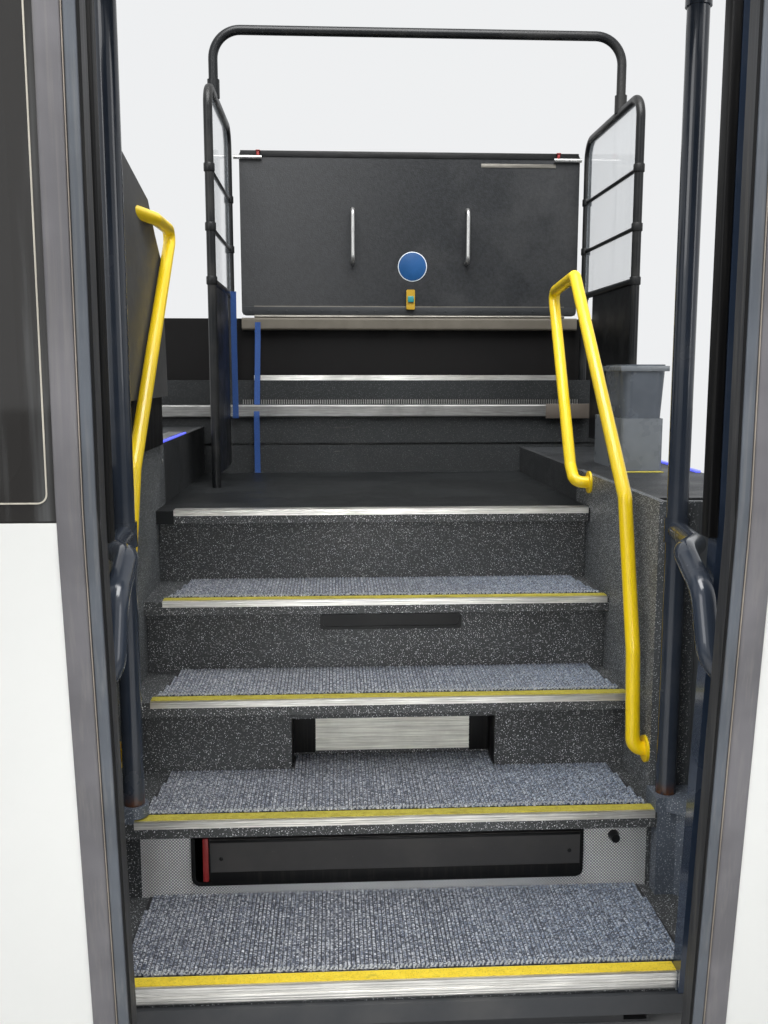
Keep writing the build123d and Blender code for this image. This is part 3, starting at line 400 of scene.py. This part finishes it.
CREAM = moulded("cream_trim", tone(96, 91, 82), 0.5, 500.0, 0.1, 0.25)
DARK = moulded("dark_plastic", tone(44, 46, 48), 0.46, 420.0, 0.15, 0.3)
BLACK_PLASTIC = moulded("black_plastic", tone(18, 19, 20), 0.42, 520.0, 0.10, 0.3)
BIN = moulded("bin_plastic", tone(92, 98, 106), 0.22, 600.0, 0.06)
BIN_PALE = moulded("bin_front", tone(116, 121, 126), 0.30, 600.0, 0.10)
SEAL = rubber("door_seal", tone(104, 102, 105), 0.14)
SEAL_BEAD = rubber("seal_bead", tone(166, 156, 144), 0.10)
SEAL_INNER = rubber("seal_inner", tone(84, 89, 96), 0.16)
SEAL_DARK = rubber("dark_seal", tone(36, 37, 40), 0.12)
GASKET = rubber("gasket", tone(9, 9, 10), 0.03, 0.2)
LIFT_BLACK = paint("lift_coating", tone(54, 53, 53), 0.46, 0.25, tone(116, 112, 106), dust=0.05)
RED = paint("red_marking", tone(150, 34, 34), 0.4, 0.4, tone(70, 20, 20))
COVERING = leathercloth()
WEBBING = woven_strap()
CLEAR = glazing("clear_pane", tone(196, 204, 210), 0.22)
TINTED = glazing("tinted_glass", tone(38, 36, 34), 0.96, 0.05, 0.14)
BLUE_LAMP = lamp("blue_lamp", tone(60, 66, 220), tone(120, 130, 248), 1.0)
SIGN_BLUE = moulded("sign_blue", tone(20, 72, 122), 0.4, 800.0, 0.05, 0.3)
PALE_MARK = moulded("pale_marking", tone(206, 214, 220), 0.4, 800.0, 0.05)
TEAL = moulded("teal_plastic", tone(38, 132, 134), 0.4, 800.0, 0.1)
LATCH_YELLOW = moulded("latch_yellow", tone(178, 142, 32), 0.4, 800.0, 0.15)
STEEL = brushed("fastener_steel", tone(186, 186, 184), (1.0, 1.0, 1.0), 0.3, 0.2)
CREAM_RUBBER = rubber("cream_gasket", tone(190, 184, 170), 0.1)

NODE_FINISH = {
    "base_frame": FRAME_PAINT,
    "sill_beam": FRAME_PAINT,
    "side_wall_left": WALL_VINYL,
    "side_wall_right": WALL_VINYL,
    "tread_1": VINYL,
    "tread_2": VINYL,
    "tread_3": VINYL,
    "tread_4": VINYL,
    "landing_floor": PLAIN_FLOOR,
    "riser_1": VINYL,
    "riser_2": VINYL,
    "riser_3": VINYL,
    "riser_4": VINYL,
    "riser_plate": EMBOSSED,
    "nosings": NOSING,
    "grip_strips": TAPE,
    "tread_mats": PILE,
    "lift_cassette": BLACK,
    "lift_platform": LIFT_BLACK,
    "slat_panel": SLATTED,
    "riser_fittings": BLACK_PLASTIC,
    "podium": REAR_VINYL,
    "podium_nosing": PODIUM_ALLOY,
    "heater_casing": REAR_VINYL,
    "air_grille": BLACK_PLASTIC,
    "trim_rail": BRIGHT,
    "rear_wall": BROWN,
    "rear_lining": BROWN,
    "sill_rail": CREAM,
    "deck_left": DECK_VINYL,
    "deck_right": DECK_VINYL,
    "guard_left": BLACK,
    "guard_right": BLACK,
    "guard_panes": CLEAR,
    "guard_panels": BLACK_PLASTIC,
    "arch_tube": BLACK,
    "door_posts": POST,
    "door_header": FRAME_PAINT,
    "corner_brackets": LEDGE,
    "side_screen": SCREEN,
    "handrail_left": YELLOW,
    "handrail_right": YELLOW,
    "bin_holder": BIN_PALE,
    "waste_bin": BIN,
    "straps": WEBBING,
    "column_left": COLUMN,
    "column_right": COLUMN,
    "leaf_frame_left": DOOR_EDGE,
    "leaf_frame_right": DOOR_EDGE,
    "leaf_panel_left": DOOR_WHITE,
    "leaf_panel_right": DOOR_WHITE,
    "leaf_glass_left": TINTED,
    "leaf_glass_right": TINTED,
    "leaf_seal_left": SEAL_DARK,
    "leaf_seal_right": SEAL_DARK,
    "board": COVERING,
    "board_hinge": HINGE_ALLOY,
    "board_fittings": UPRIGHT,
    "board_latch": LATCH_YELLOW,
}
for node_name, finish in NODE_FINISH.items():
    data = nodes[node_name].data
    data.materials.clear()
    data.materials.append(finish)


# ---- shapes


def round_off(bm, edges, radius, segments=2):
    bmesh.ops.bevel(
        bm, geom=list(edges), offset=radius, offset_type="OFFSET", segments=segments,
        profile=0.5, affect="EDGES", material=-1, clamp_overlap=True,
    )


def block(bm, low, high, edge=0.0):
    """Rectangular body between two corners with rounded edges."""
    made = bmesh.ops.create_cube(bm, size=1.0)["verts"]
    bmesh.ops.scale(bm, vec=Vector(high) - Vector(low), verts=made)
    bmesh.ops.translate(bm, vec=(Vector(high) + Vector(low)) / 2, verts=made)
    if edge:
        round_off(bm, {e for v in made for e in v.link_edges}, edge)


def prism(bm, outline, push, edge=0.0):
    """Flat outline pushed along a vector."""
    face = bm.faces.new([bm.verts.new(p) for p in outline])
    made = bmesh.ops.extrude_face_region(bm, geom=[face])["geom"]
    moved = [g for g in made if isinstance(g, bmesh.types.BMVert)]
    bmesh.ops.translate(bm, vec=push, verts=moved)
    if edge:
        ends = {e for v in moved for e in v.link_edges}
        round_off(bm, ends, edge, 1)


def drum(bm, centre, axis, radius, length, sides=24, edge=0.0):
    """Round body that starts at a centre and runs along an axis."""
    along = Vector(axis).normalized()
    turn = along.to_track_quat("Z", "Y").to_matrix().to_4x4()
    where = Matrix.Translation(Vector(centre) + along * length / 2) @ turn
    made = bmesh.ops.create_cone(
        bm, cap_ends=True, cap_tris=False, segments=sides, radius1=radius,
        radius2=radius, depth=length, matrix=where,
    )["verts"]
    if edge:
        caps = {f for v in made for f in v.link_faces if len(f.verts) == sides}
        round_off(bm, {e for f in caps for e in f.edges}, edge, 2)


def rounded_frame(bm, low, high, y, corner, width, rise):
    """Frame with rounded corners that lies in an upright plane and stands out towards the front."""
    (x0, z0), (x1, z1) = low, high
    face = bm.faces.new([bm.verts.new(p) for p in ((x0, y, z0), (x1, y, z0), (x1, y, z1), (x0, y, z1))])
    bmesh.ops.bevel(
        bm, geom=list(face.verts), offset=corner, offset_type="OFFSET", segments=6, profile=0.5,
        affect="VERTICES", material=-1, clamp_overlap=True,
    )
    inner = max(bm.faces, key=lambda f: f.calc_area())
    band = bmesh.ops.inset_region(
        bm, faces=[inner], thickness=width, use_even_offset=True, use_boundary=True,
    )["faces"]
    bmesh.ops.delete(bm, geom=[inner], context="FACES_ONLY")
    pushed = bmesh.ops.extrude_face_region(bm, geom=band)["geom"]
    moved = [g for g in pushed if isinstance(g, bmesh.types.BMVert)]
    bmesh.ops.translate(bm, vec=(0, -rise, 0), verts=moved)


def run(bm, outline, offsets):
    """Section carried through a row of offsets, each from the last."""
    cap = bm.faces.new([bm.verts.new(p) for p in outline])
    first = True
    for offset in offsets:
        made = bmesh.ops.extrude_face_region(bm, geom=[cap])["geom"]
        bmesh.ops.translate(bm, vec=offset, verts=[g for g in made if isinstance(g, bmesh.types.BMVert)])
        if not first and cap.is_valid:
            bmesh.ops.delete(bm, geom=[cap], context="FACES_ONLY")
        cap = next(g for g in made if isinstance(g, bmesh.types.BMFace))
        first = False


def piece(name, body, finish, build, slot, replaces=(), sharp=38.0):
    """Closed mesh from a build function, shaded smooth except at its sharp edges, on its body."""
    bm = bmesh.new()
    build(bm)
    bmesh.ops.recalc_face_normals(bm, faces=bm.faces)
    for face in bm.faces:
        face.smooth = True
    for edge in bm.edges:
        edge.smooth = len(edge.link_faces) == 2 and edge.calc_face_angle(0.0) < math.radians(sharp)
    data = bpy.data.meshes.new(name)
    bm.to_mesh(data)
    bm.free()
    data.materials.append(finish)
    made = bpy.data.objects.new(name, data)
    bpy.context.scene.collection.objects.link(made)
    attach(made, body)
    if replaces:
        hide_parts(*replaces)
    return made


def slab(name, body, finish, low, high, edge, slot):
    """Piece made of one rounded block."""
    return piece(name, body, finish, lambda bm: block(bm, low, high, edge), slot)


def tuck(z):
    """How far the body side leans in at a height."""
    return TUCK_DEEP * max(0.0, TUCK_FROM - z) / (TUCK_FROM - TUCK_FOOT)


def screw(bm, centre, axis, radius=0.004, rise=0.0015):
    """Low domed screw head."""
    drum(bm, centre, axis, radius, rise, 12, rise * 0.6)


# ---- mats


MAT_RUN_IN = (0.012, 0.026, 0.026, 0.028)
RECESS = (-0.250, 0.264)
MAT_SLOT = ("mat", ("tread_mats",))


def riser_face(i):
    """Front face, in Y, of the riser behind a step."""
    return STEPS[i + 1][0] + SETBACK


def mat_ribs(bm, i, rng):
    """Half-round ribs from the front edge to the riser, shorter where the sides run in."""
    nose, level = STEPS[i]
    front = nose + FLANGE + MAT_LEAD
    back = riser_face(i) - 0.005
    half, narrow, pitch = MAT_HALF, MAT_RUN_IN[i], MAT_PITCH
    count = int(2 * half / pitch)
    top = level + MAT_THICK
    for k in range(count):
        x = (k - (count - 1) / 2) * pitch
        far = back
        room = half - abs(x) - pitch / 2
        if room < narrow:
            far = front + (back - front) * max(0.12, room / narrow)
        if i == 1 and RECESS[0] < x < RECESS[1]:
            far = riser_face(1) + 0.088
        width = pitch * rng.uniform(0.40, 0.46)
        start = front + rng.uniform(-0.0015, 0.0015)
        steps = max(2, int((far - start) / 0.016))
        rings = []
        for n in range(steps + 1):
            y = start + (far - start) * n / steps
            z = top + rng.uniform(-0.0006, 0.0006)
            shape = ((-1.0, -0.0050), (-0.8, -0.0012), (0.0, 0.0), (0.8, -0.0012), (1.0, -0.0050))
            rings.append([bm.verts.new((x + width * u, y, z + w)) for u, w in shape])
        for a, b in zip(rings, rings[1:]):
            for m in range(5):
                bm.faces.new((a[m], a[(m + 1) % 5], b[(m + 1) % 5], b[m]))
        bm.faces.new(rings[0])
        bm.faces.new(rings[-1])


def mat_back(bm, i):
    """Rubber backing under the ribs of one mat."""
    nose, level = STEPS[i]
    front = nose + FLANGE + 0.004
    back = riser_face(i) - 0.006
    half, narrow = MAT_HALF, MAT_RUN_IN[i]
    outline = [(-half, front, level), (half, front, level)]
    if i == 1:
        deep = riser_face(1) + 0.086
        outline += [(half - narrow, back, level), (RECESS[1], back, level), (RECESS[1], deep, level)]
        outline += [(RECESS[0], deep, level), (RECESS[0], back, level), (-half + narrow, back, level)]
    else:
        outline += [(half - narrow, back, level), (-half + narrow, back, level)]
    prism(bm, outline, (0, 0, MAT_THICK - 0.0042), 0.0008)


def mat_fringe(bm, i, rng):
    """Slanting cut loops along the front edge."""
    nose, level = STEPS[i]
    front, top, pitch = nose + FLANGE + MAT_LEAD, level + MAT_THICK, MAT_PITCH
    count = int(2 * MAT_HALF / pitch)
    for k in range(count):
        x = (k - (count - 1) / 2) * pitch - rng.uniform(0.002, 0.004)
        wide, lean = rng.uniform(0.0016, 0.0022), rng.uniform(0.004, 0.007)
        near = [(x - wide, front - 0.0012), (x + wide, front - 0.0012)]
        far = [(x + lean + wide, front + 0.0085), (x + lean - wide, front + 0.0085)]
        low = [bm.verts.new((a, b, top - 0.0030)) for a, b in near + far]
        high = [bm.verts.new((a, b, top + (0.0009 if b > front else -0.0008))) for a, b in near + far]
        bm.faces.new(low)
        bm.faces.new(high)
        for m in range(4):
            bm.faces.new((low[m], low[(m + 1) % 4], high[(m + 1) % 4], high[m]))


for i in range(4):
    rng = random.Random(40 + i)
    piece(f"mat_backing_{i + 1}", ROOT, BACKING, lambda bm: mat_back(bm, i), *MAT_SLOT)
    piece(f"mat_ribs_{i + 1}", ROOT, PILE, lambda bm: mat_ribs(bm, i, rng), *MAT_SLOT, 80.0)
    piece(f"mat_fringe_{i + 1}", ROOT, FRINGE, lambda bm: mat_fringe(bm, i, rng), *MAT_SLOT, 80.0)


# ---- steps


def aprons(bm):
    """Covered edging below each nosing."""
    for nose, level in STEPS[1:]:
        half = NOSING_HALF
        low, high = level - 0.038, level - 0.0145
        outline = [
            (-half, nose + 0.003, low), (-half, nose + 0.0012, low + 0.002),
            (-half, nose + 0.0012, high), (-half, nose + 0.003, high),
        ]
        prism(bm, outline, (2 * half, 0, 0))


def coves(bm):
    """Small concave beads where the risers meet the walls and the treads."""
    r = 0.012
    for i in range(4):
        face, low, high = riser_face(i), STEPS[i][1], STEPS[i + 1][1] - 0.020
        for wall, side in ((WALL_LEFT, 1), (WALL_RIGHT, -1)):
            curve = [(wall + side * r * (1 - math.sin(a)), face - r * (1 - math.cos(a)), low)
                     for a in (0.0, 0.4, 0.8, 1.2, math.pi / 2)]
            outline = [(wall, face, low)] + curve
            prism(bm, outline, (0, 0, high - low))


def foot_alloy(bm):
    """Deep alloy front of the lowest nosing."""
    nose, level = STEPS[0]
    half = 0.5520
    block(bm, (-half, nose - 0.0010, level - 0.0310), (half, nose + 0.0030, level - 0.0140), 0.0008)


piece("apron_edging", ROOT, VINYL, aprons, "step_board")
piece("foot_nosing", ROOT, NOSING, foot_alloy, "nosing_metal")
piece("corner_coves", ROOT, VINYL, coves, "step_board", sharp=60.0)


def mouth_gasket(bm):
    """Rubber edge round the mouth of the lift."""
    rounded_frame(bm, (-0.480, 0.168), (0.444, 0.311), -0.787, 0.020, 0.009, 0.006)


piece("mouth_gasket", ROOT, GASKET, mouth_gasket, "seal_rubber")
slab("mouth_infill", ROOT, EMBOSSED, (-0.486, -0.7885, 0.149), (0.450, -0.787, 0.172), 0.0004,
     "patterned_metal")


def recess_shade_plates(bm):
    """Near-black plates at the ends of the recess, round the slatted panel, as painted shade of the recess.
    """
    for x0, x1 in ((-0.2550, -0.2530), (0.2670, 0.2690)):
        block(bm, (x0, -0.549, 0.354), (x1, -0.4512, 0.481), 0.0004)
    for x0, x1 in ((-0.2530, -0.1960), (0.2160, 0.2670)):
        block(bm, (x0, -0.4530, 0.354), (x1, -0.4512, 0.481), 0.0004)


piece("recess_shade_plates", ROOT, GASKET, recess_shade_plates, "dark_plastic")


def lift_details(bm):
    """Raised upper edge of the lift's front bar, with two screws."""
    block(bm, (-0.436, -0.7985, 0.276), (0.436, -0.7945, 0.2815), 0.001)
    for x in (-0.410, 0.410):
        screw(bm, (x, -0.795, 0.236), (0, -1, 0), 0.005, 0.002)


piece("lift_bar_edges", ROOT, BLACK_PLASTIC, lift_details, "dark_plastic")
# Near-black strip below the lift's front bar: painted shade of the gap there.
slab("lift_gap_shade_sheet", ROOT, GASKET, (-0.4358, -0.7965, 0.1772), (0.4358, -0.7948, 0.2030), 0.0006,
     "dark_plastic")
slab("lift_end_marking", ROOT, RED, (-0.4530, -0.796, 0.180), (-0.4400, -0.786, 0.286), 0.001, "lift_paint")


# ---- door leaves


SEAL_BANDS = (
    # piece, finish, inner and outer edge from the middle of the doorway, rise
    ("seal_face", SEAL, (0.5385, 0.5795), 0.006),
    ("seal_bead", SEAL_BEAD, (0.5362, 0.5380), 0.0035),
    ("seal_inner", SEAL_INNER, (0.5155, 0.5350), 0.0045),
    ("seal_lip", GASKET, (0.5104, 0.5145), 0.002),
)


def leaf_strip(bm, side, band, rise):
    """Upright strip with a rounded section on the outer face of a leaf, which follows its tuck."""
    low, high, count = LEAF_FOOT + 0.004, LEAF_TOP - 0.004, 26
    inner, outer = band
    heights = [high + (low - high) * k / count for k in range(count + 1)]
    y = OUTER_FACE + tuck(high)
    arc = [(inner + (outer - inner) * (1 - math.cos(a)) / 2, rise * math.sin(a) ** 0.7)
           for a in (math.pi * k / 10 for k in range(1, 10))]
    outline = [(side * inner, y + 0.001, high)]
    outline += [(side * x, y - up, high) for x, up in arc]
    outline += [(side * outer, y + 0.001, high)]
    run(bm, outline, [(0, tuck(b) - tuck(a), b - a) for a, b in zip(heights, heights[1:])])


def glass_bead(bm, side):
    """Pale bead round the pane, with rounded corners."""
    ends = sorted((side * 0.5905, side * (LEAF_OUT - 0.030)))
    low, high = (ends[0], 1.1525), (ends[1], LEAF_TOP - 0.030)
    rounded_frame(bm, low, high, OUTER_FACE, 0.016, 0.0024, 0.0016)


for name, side in SIDES:
    body = "leaf_" + name
    for part, finish, band, rise in SEAL_BANDS:
        piece(f"{part}_{name}", body, finish, lambda bm: leaf_strip(bm, side, band, rise), "seal_rubber",
              sharp=60.0)
    piece(f"glass_bead_{name}", body, CREAM_RUBBER, lambda bm: glass_bead(bm, side), "seal_rubber")


def post_linings(bm):
    """Rubber strips on the inner faces of the posts, between the arms' heights."""
    for _, side in SIDES:
        inner, outer = sorted((side * 0.533, side * 0.553))
        block(bm, (inner, -1.240, 1.060), (outer, -1.205, 2.100), 0.004)


piece("post_linings", ROOT, GASKET, post_linings, "seal_rubber", sharp=60.0)


# ---- board


def board_screws(bm):
    """Row of screws in the foot strip, left out behind the latch."""
    for k in range(19):
        x = -0.470 + k * 1.285 / 18
        if abs(x - 0.172) > 0.03:
            screw(bm, (x, BOARD_FACE - 0.0035, 1.606), (0, -1, 0), 0.0045, 0.0018)


slab("board_foot_strip", "board_fold", DARK, (BOARD_LEFT, BOARD_FACE - 0.0035, 1.5905),
     (BOARD_RIGHT, BOARD_FACE, 1.622), 0.0012, "dark_plastic")
piece("board_screws", "board_fold", DARK, board_screws, "dark_plastic")
slab("board_top_edging", "board_fold", BLACK_PLASTIC, (BOARD_LEFT, BOARD_FACE - 0.003, 2.200),
     (BOARD_RIGHT, BOARD_FACE + 0.018, 2.2245), 0.002, "dark_plastic")
slab("board_label_strip", "board_fold", HINGE_ALLOY, (0.453, BOARD_FACE - 0.002, 2.168),
     (0.753, BOARD_FACE, 2.183), 0.0006, "bright_metal")


def disc(bm):
    drum(bm, SIGN_AT, (0, -1, 0), 0.0555, 0.0018, 48, 0.0006)


def disc_ring(bm):
    drum(bm, SIGN_AT, (0, -1, 0), 0.0585, 0.0012, 48, 0.0004)


piece("board_sign", "board_fold", SIGN_BLUE, disc, "board_cover")
piece("board_sign_rim", "board_fold", PALE_MARK, disc_ring, "board_cover")
slab("latch_insert", "board_fold", TEAL, (0.160, 1.034, 1.640), (0.184, 1.0405, 1.664), 0.002,
     "bright_metal")


def bolt_knobs(bm):
    """Upright knobs of the two slide bolts."""
    for x in (-0.430, 0.762):
        drum(bm, (x, BOARD_FACE - 0.008, 2.203), (0, 0, 1), 0.006, 0.018, 16, 0.002)
        drum(bm, (x, BOARD_FACE - 0.008, 2.221), (0, 0, 1), 0.010, 0.003, 16, 0.001)


piece("bolt_knobs", "board_fold", RED, bolt_knobs, "bright_metal")


# ---- straps


def strap(bm, x, path):
    """Webbing band that follows a smooth line through its points in Y and Z."""
    fine = []
    for a in range(len(path) - 1):
        before, after = path[max(a - 1, 0)], path[min(a + 2, len(path) - 1)]
        for k in range(12):
            t = k / 12
            fine.append(tuple(
                0.5 * (2 * p1 + (p2 - p0) * t + (2 * p0 - 5 * p1 + 4 * p2 - p3) * t**2
                       + (3 * p1 - p0 - 3 * p2 + p3) * t**3)
                for p0, p1, p2, p3 in zip(before, path[a], path[a + 1], after)
            ))
    fine.append(tuple(path[-1]))
    y, z = fine[0]
    far, front = x + STRAP_WIDE, y - STRAP_THICK
    outline = [(x, front, z), (far, front, z), (far, y, z), (x, y, z)]
    run(bm, outline, [(0, b[0] - a[0], b[1] - a[1]) for a, b in zip(fine, fine[1:])])


STRAPS = (
    # name, x, points as (y, z), rail that carries it
    ("strap_left_short", -0.5325, ((0.8965, 1.668), (0.889, 1.500), (0.8965, 1.184)), "guard_left"),
    ("strap_left_long", -0.452, ((1.0385, 1.560), (1.020, 1.48), (0.930, 1.245), (0.9025, 1.20),
                                (0.9025, 1.10), (0.9000, 0.969)), "sill_rail"),
    ("strap_right_one", 0.8875, ((0.8217, 1.668), (0.829, 1.500), (0.862, 1.184)), "guard_right"),
    ("strap_right_two", 0.8875, ((0.7813, 1.668), (0.774, 1.500), (0.789, 1.067)), "guard_right"),
)
for name, x, path, rail in STRAPS:
    made = piece(name, ROOT, WEBBING, lambda bm: strap(bm, x, path), "strap_web", ("straps",), 60.0)


# ---- small fittings


def knuckles(bm):
    """Clamps where the bars meet the posts of the guards."""
    for x, near in ((-0.545, 0.420), (0.875, 0.360)):
        for y in (near, 1.030):
            for z in GUARD_BARS:
                drum(bm, (x, y, z - 0.014), (0, 0, 1), 0.0185, 0.028, 20, 0.003)


piece("guard_clamps", ROOT, BLACK_PLASTIC, knuckles, "guard_coating")


def bin_rim(bm):
    """Lip round the mouth of the bin."""
    (x0, y0, _), (x1, y1, z1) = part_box("waste_bin")
    out, wall = 0.0025, 0.004
    low, high = z1 - 0.020, z1 - 0.004
    block(bm, (x0 - out, y0 - out, low), (x1 + out, y0 + wall - 0.002, high), 0.0012)
    block(bm, (x0 - out, y1 - wall + 0.002, low), (x1 + out, y1 + out, high), 0.0012)
    for x in (x0, x1):
        block(bm, (x - out, y0 + wall, low), (x + out, y1 - wall, high), 0.0012)


def left_louvre(bm):
    """Row of thin bars that lie along the left deck."""
    for k in range(6):
        x = -0.712 + k * 0.0085
        block(bm, (x, -0.020, 1.150), (x + 0.0055, 0.470, 1.157), 0.001)


def rear_stiffeners(bm):
    """Folded channels on the outer face of the rear wall, with bolts."""
    (x0, _, z0), (x1, y1, z1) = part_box("rear_wall")
    for k in range(5):
        x = x0 + 0.040 + (x1 - x0 - 0.080) * k / 4
        block(bm, (x - 0.020, y1, z0 + 0.020), (x + 0.020, y1 + 0.012, z1 - 0.020), 0.003)
        for z in (z0 + 0.060, (z0 + z1) / 2 + 0.040, z1 - 0.060):
            screw(bm, (x, y1 + 0.012, z), (0, 1, 0), 0.008, 0.004)
    for z in (z0 + 0.020, z1 - 0.060):
        block(bm, (x0 + 0.020, y1, z), (x1 - 0.020, y1 + 0.008, z + 0.040), 0.003)


piece("rear_stiffeners", ROOT, FRAME_PAINT, rear_stiffeners, "frame_paint")


def grille_comb(bm):
    """Upright teeth of the air grille, over the nosing of the podium."""
    (x0, y0, z0), (x1, _, z1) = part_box("air_grille")
    count = 150
    for k in range(count):
        x = x0 + 0.006 + (x1 - x0 - 0.012) * k / (count - 1)
        block(bm, (x - 0.0022, y0 - 0.0015, z0 + 0.0005), (x + 0.0022, y0, z1 - 0.0015))


piece("grille_comb", ROOT, PODIUM_ALLOY, grille_comb, "bright_metal")
slab("nosing_end_cover", ROOT, moulded("end_cover", tone(92, 85, 78), 0.5, 500.0, 0.1, 0.3),
     (0.700, 0.8990, 1.1800), (0.905, 0.9040, 1.2380), 0.002, "dark_plastic")
# Near-black sheet below the side screen: painted shade of the dark interior seen there.
slab("shade_sheet_below_screen", ROOT, GASKET, (-0.6500, -0.5620, 1.1505), (-0.6400, -0.0620, 1.3520), 0.002,
     "dark_plastic")
# The lip takes the paler holder finish: a painted highlight along the bin's rim.
piece("bin_lip", ROOT, BIN_PALE, bin_rim, "bin_plastic")
slab("deck_lamp_right", ROOT, BLUE_LAMP, (0.930, -0.120, 1.065), (0.946, 0.420, 1.072), 0.002, "dark_plastic")
slab("deck_lamp_left", ROOT, BLUE_LAMP, (-0.6590, -0.020, 1.150), (-0.6515, 0.470, 1.156), 0.002,
     "dark_plastic")
piece("deck_louvre", ROOT, UPRIGHT, left_louvre, "bright_metal")
slab("deck_edge_strip", ROOT, TAPE, (0.716, -0.112, 1.065), (0.838, -0.084, 1.0670), 0.0006, "grip_strip")
piece("wall_screw", ROOT, STEEL, lambda bm: screw(bm, (-0.650, -0.036, 1.099), (1, 0, 0), 0.007, 0.002),
      "bright_metal")


# ---- stage, light and camera


BACKDROP = (0.86, 0.87, 0.88, 1.0)


def floor_finish():
    """Pale floor that takes the object's shadow and runs out into the backdrop's tone far away."""
    f = Finish("pale_floor")
    cloud = f.noise(1.5, 3.0, 0.5)
    pale = f.mix(cloud, (0.61, 0.61, 0.61, 1.0), (0.62, 0.62, 0.62, 1.0))
    matte = f.node("BsdfPrincipled", None, {"Base Color": pale, "Roughness": 0.85})
    far_tone = f.node("Emission", None, {"Color": BACKDROP, "Strength": 1.0})
    reach = f.node("VectorMath", {"operation": "LENGTH"}, {0: f.place}, "Value")
    seen = f.node("LightPath", out="Is Camera Ray")
    far = f.ramp(reach, 3.2, 9.0) * seen
    mixed = f.node("MixShader", None, {0: far, 1: matte, 2: far_tone})
    output = f.tree.nodes.new("ShaderNodeOutputMaterial")
    f.tree.links.new(mixed.socket, output.inputs["Surface"])
    return f.material


floor_data = bpy.data.meshes.new("studio_floor")
bm = bmesh.new()
under = Matrix.Translation((0, 0, -0.0005))
bmesh.ops.create_circle(bm, cap_ends=True, segments=96, radius=40.0, matrix=under)
bm.to_mesh(floor_data)
bm.free()
floor_data.materials.append(floor_finish())
floor = bpy.data.objects.new("studio_floor", floor_data)
bpy.context.scene.collection.objects.link(floor)


def softbox(name, where, aim, size, power):
    """Rectangular area light that faces a point."""
    light = bpy.data.lights.new(name, "AREA")
    light.shape = "RECTANGLE"
    light.size, light.size_y = size
    light.energy = power
    made = bpy.data.objects.new(name, light)
    made.location = where
    made.rotation_euler = (Vector(aim) - Vector(where)).to_track_quat("-Z", "Y").to_euler()
    bpy.context.scene.collection.objects.link(made)
    return light


softbox("key_left", (-3.6, -4.6, 3.4), (0, -0.3, 0.9), (2.6, 2.6), 70)
softbox("fill_right", (3.8, -4.2, 2.6), (0, -0.3, 0.9), (1.6, 2.8), 36)
softbox("overhead", (0.0, -1.7, 4.9), (0, -0.4, 0.6), (3.0, 3.0), 330)

low_fill = softbox("stair_fill", (0.0, -4.6, 1.15), (0.0, -0.4, 0.62), (0.5, 0.5), 1.1)
low_fill.spread = math.radians(24)


def studio_world():
    """Cool ambient light; the camera, reflections and panes see the plain backdrop."""
    world = bpy.data.worlds.new("studio")
    bpy.context.scene.world = world
    world.use_nodes = True
    tree = world.node_tree
    tree.nodes.clear()

    def glow(colour, strength):
        made = tree.nodes.new("ShaderNodeBackground")
        made.inputs["Color"].default_value = colour
        made.inputs["Strength"].default_value = strength
        return made.outputs[0]

    def either(first, second):
        made = tree.nodes.new("ShaderNodeMath")
        made.operation = "MAXIMUM"
        tree.links.new(first, made.inputs[0])
        tree.links.new(second, made.inputs[1])
        return made.outputs[0]

    rays = tree.nodes.new("ShaderNodeLightPath").outputs
    shown = either(either(rays["Is Camera Ray"], rays["Is Glossy Ray"]), rays["Is Transmission Ray"])
    choose = tree.nodes.new("ShaderNodeMixShader")
    result = tree.nodes.new("ShaderNodeOutputWorld")
    tree.links.new(shown, choose.inputs[0])
    tree.links.new(glow((0.94, 0.97, 1.0, 1.0), 0.46), choose.inputs[1])
    tree.links.new(glow(BACKDROP, 1.0), choose.inputs[2])
    tree.links.new(choose.outputs[0], result.inputs["Surface"])


studio_world()

# Viewpoint of the reference: focal length in pixels over its height, angles in degrees.
FOCAL, HEIGHT, SENSOR = 975.7, 1024, 36.0
EYE = (-0.142, -2.95, 1.355)
DOWN, RIGHTWARDS = 8.054, 2.962
camera_data = bpy.data.cameras.new("viewpoint")
camera_data.sensor_width = SENSOR
camera_data.lens = FOCAL / HEIGHT * SENSOR
camera = bpy.data.objects.new("viewpoint", camera_data)
camera.location = EYE
camera.rotation_euler = (math.radians(90 - DOWN), 0.0, math.radians(-RIGHTWARDS))
bpy.context.scene.collection.objects.link(camera)
bpy.context.scene.camera = camera
bpy.context.scene.view_settings.view_transform = "Standard"
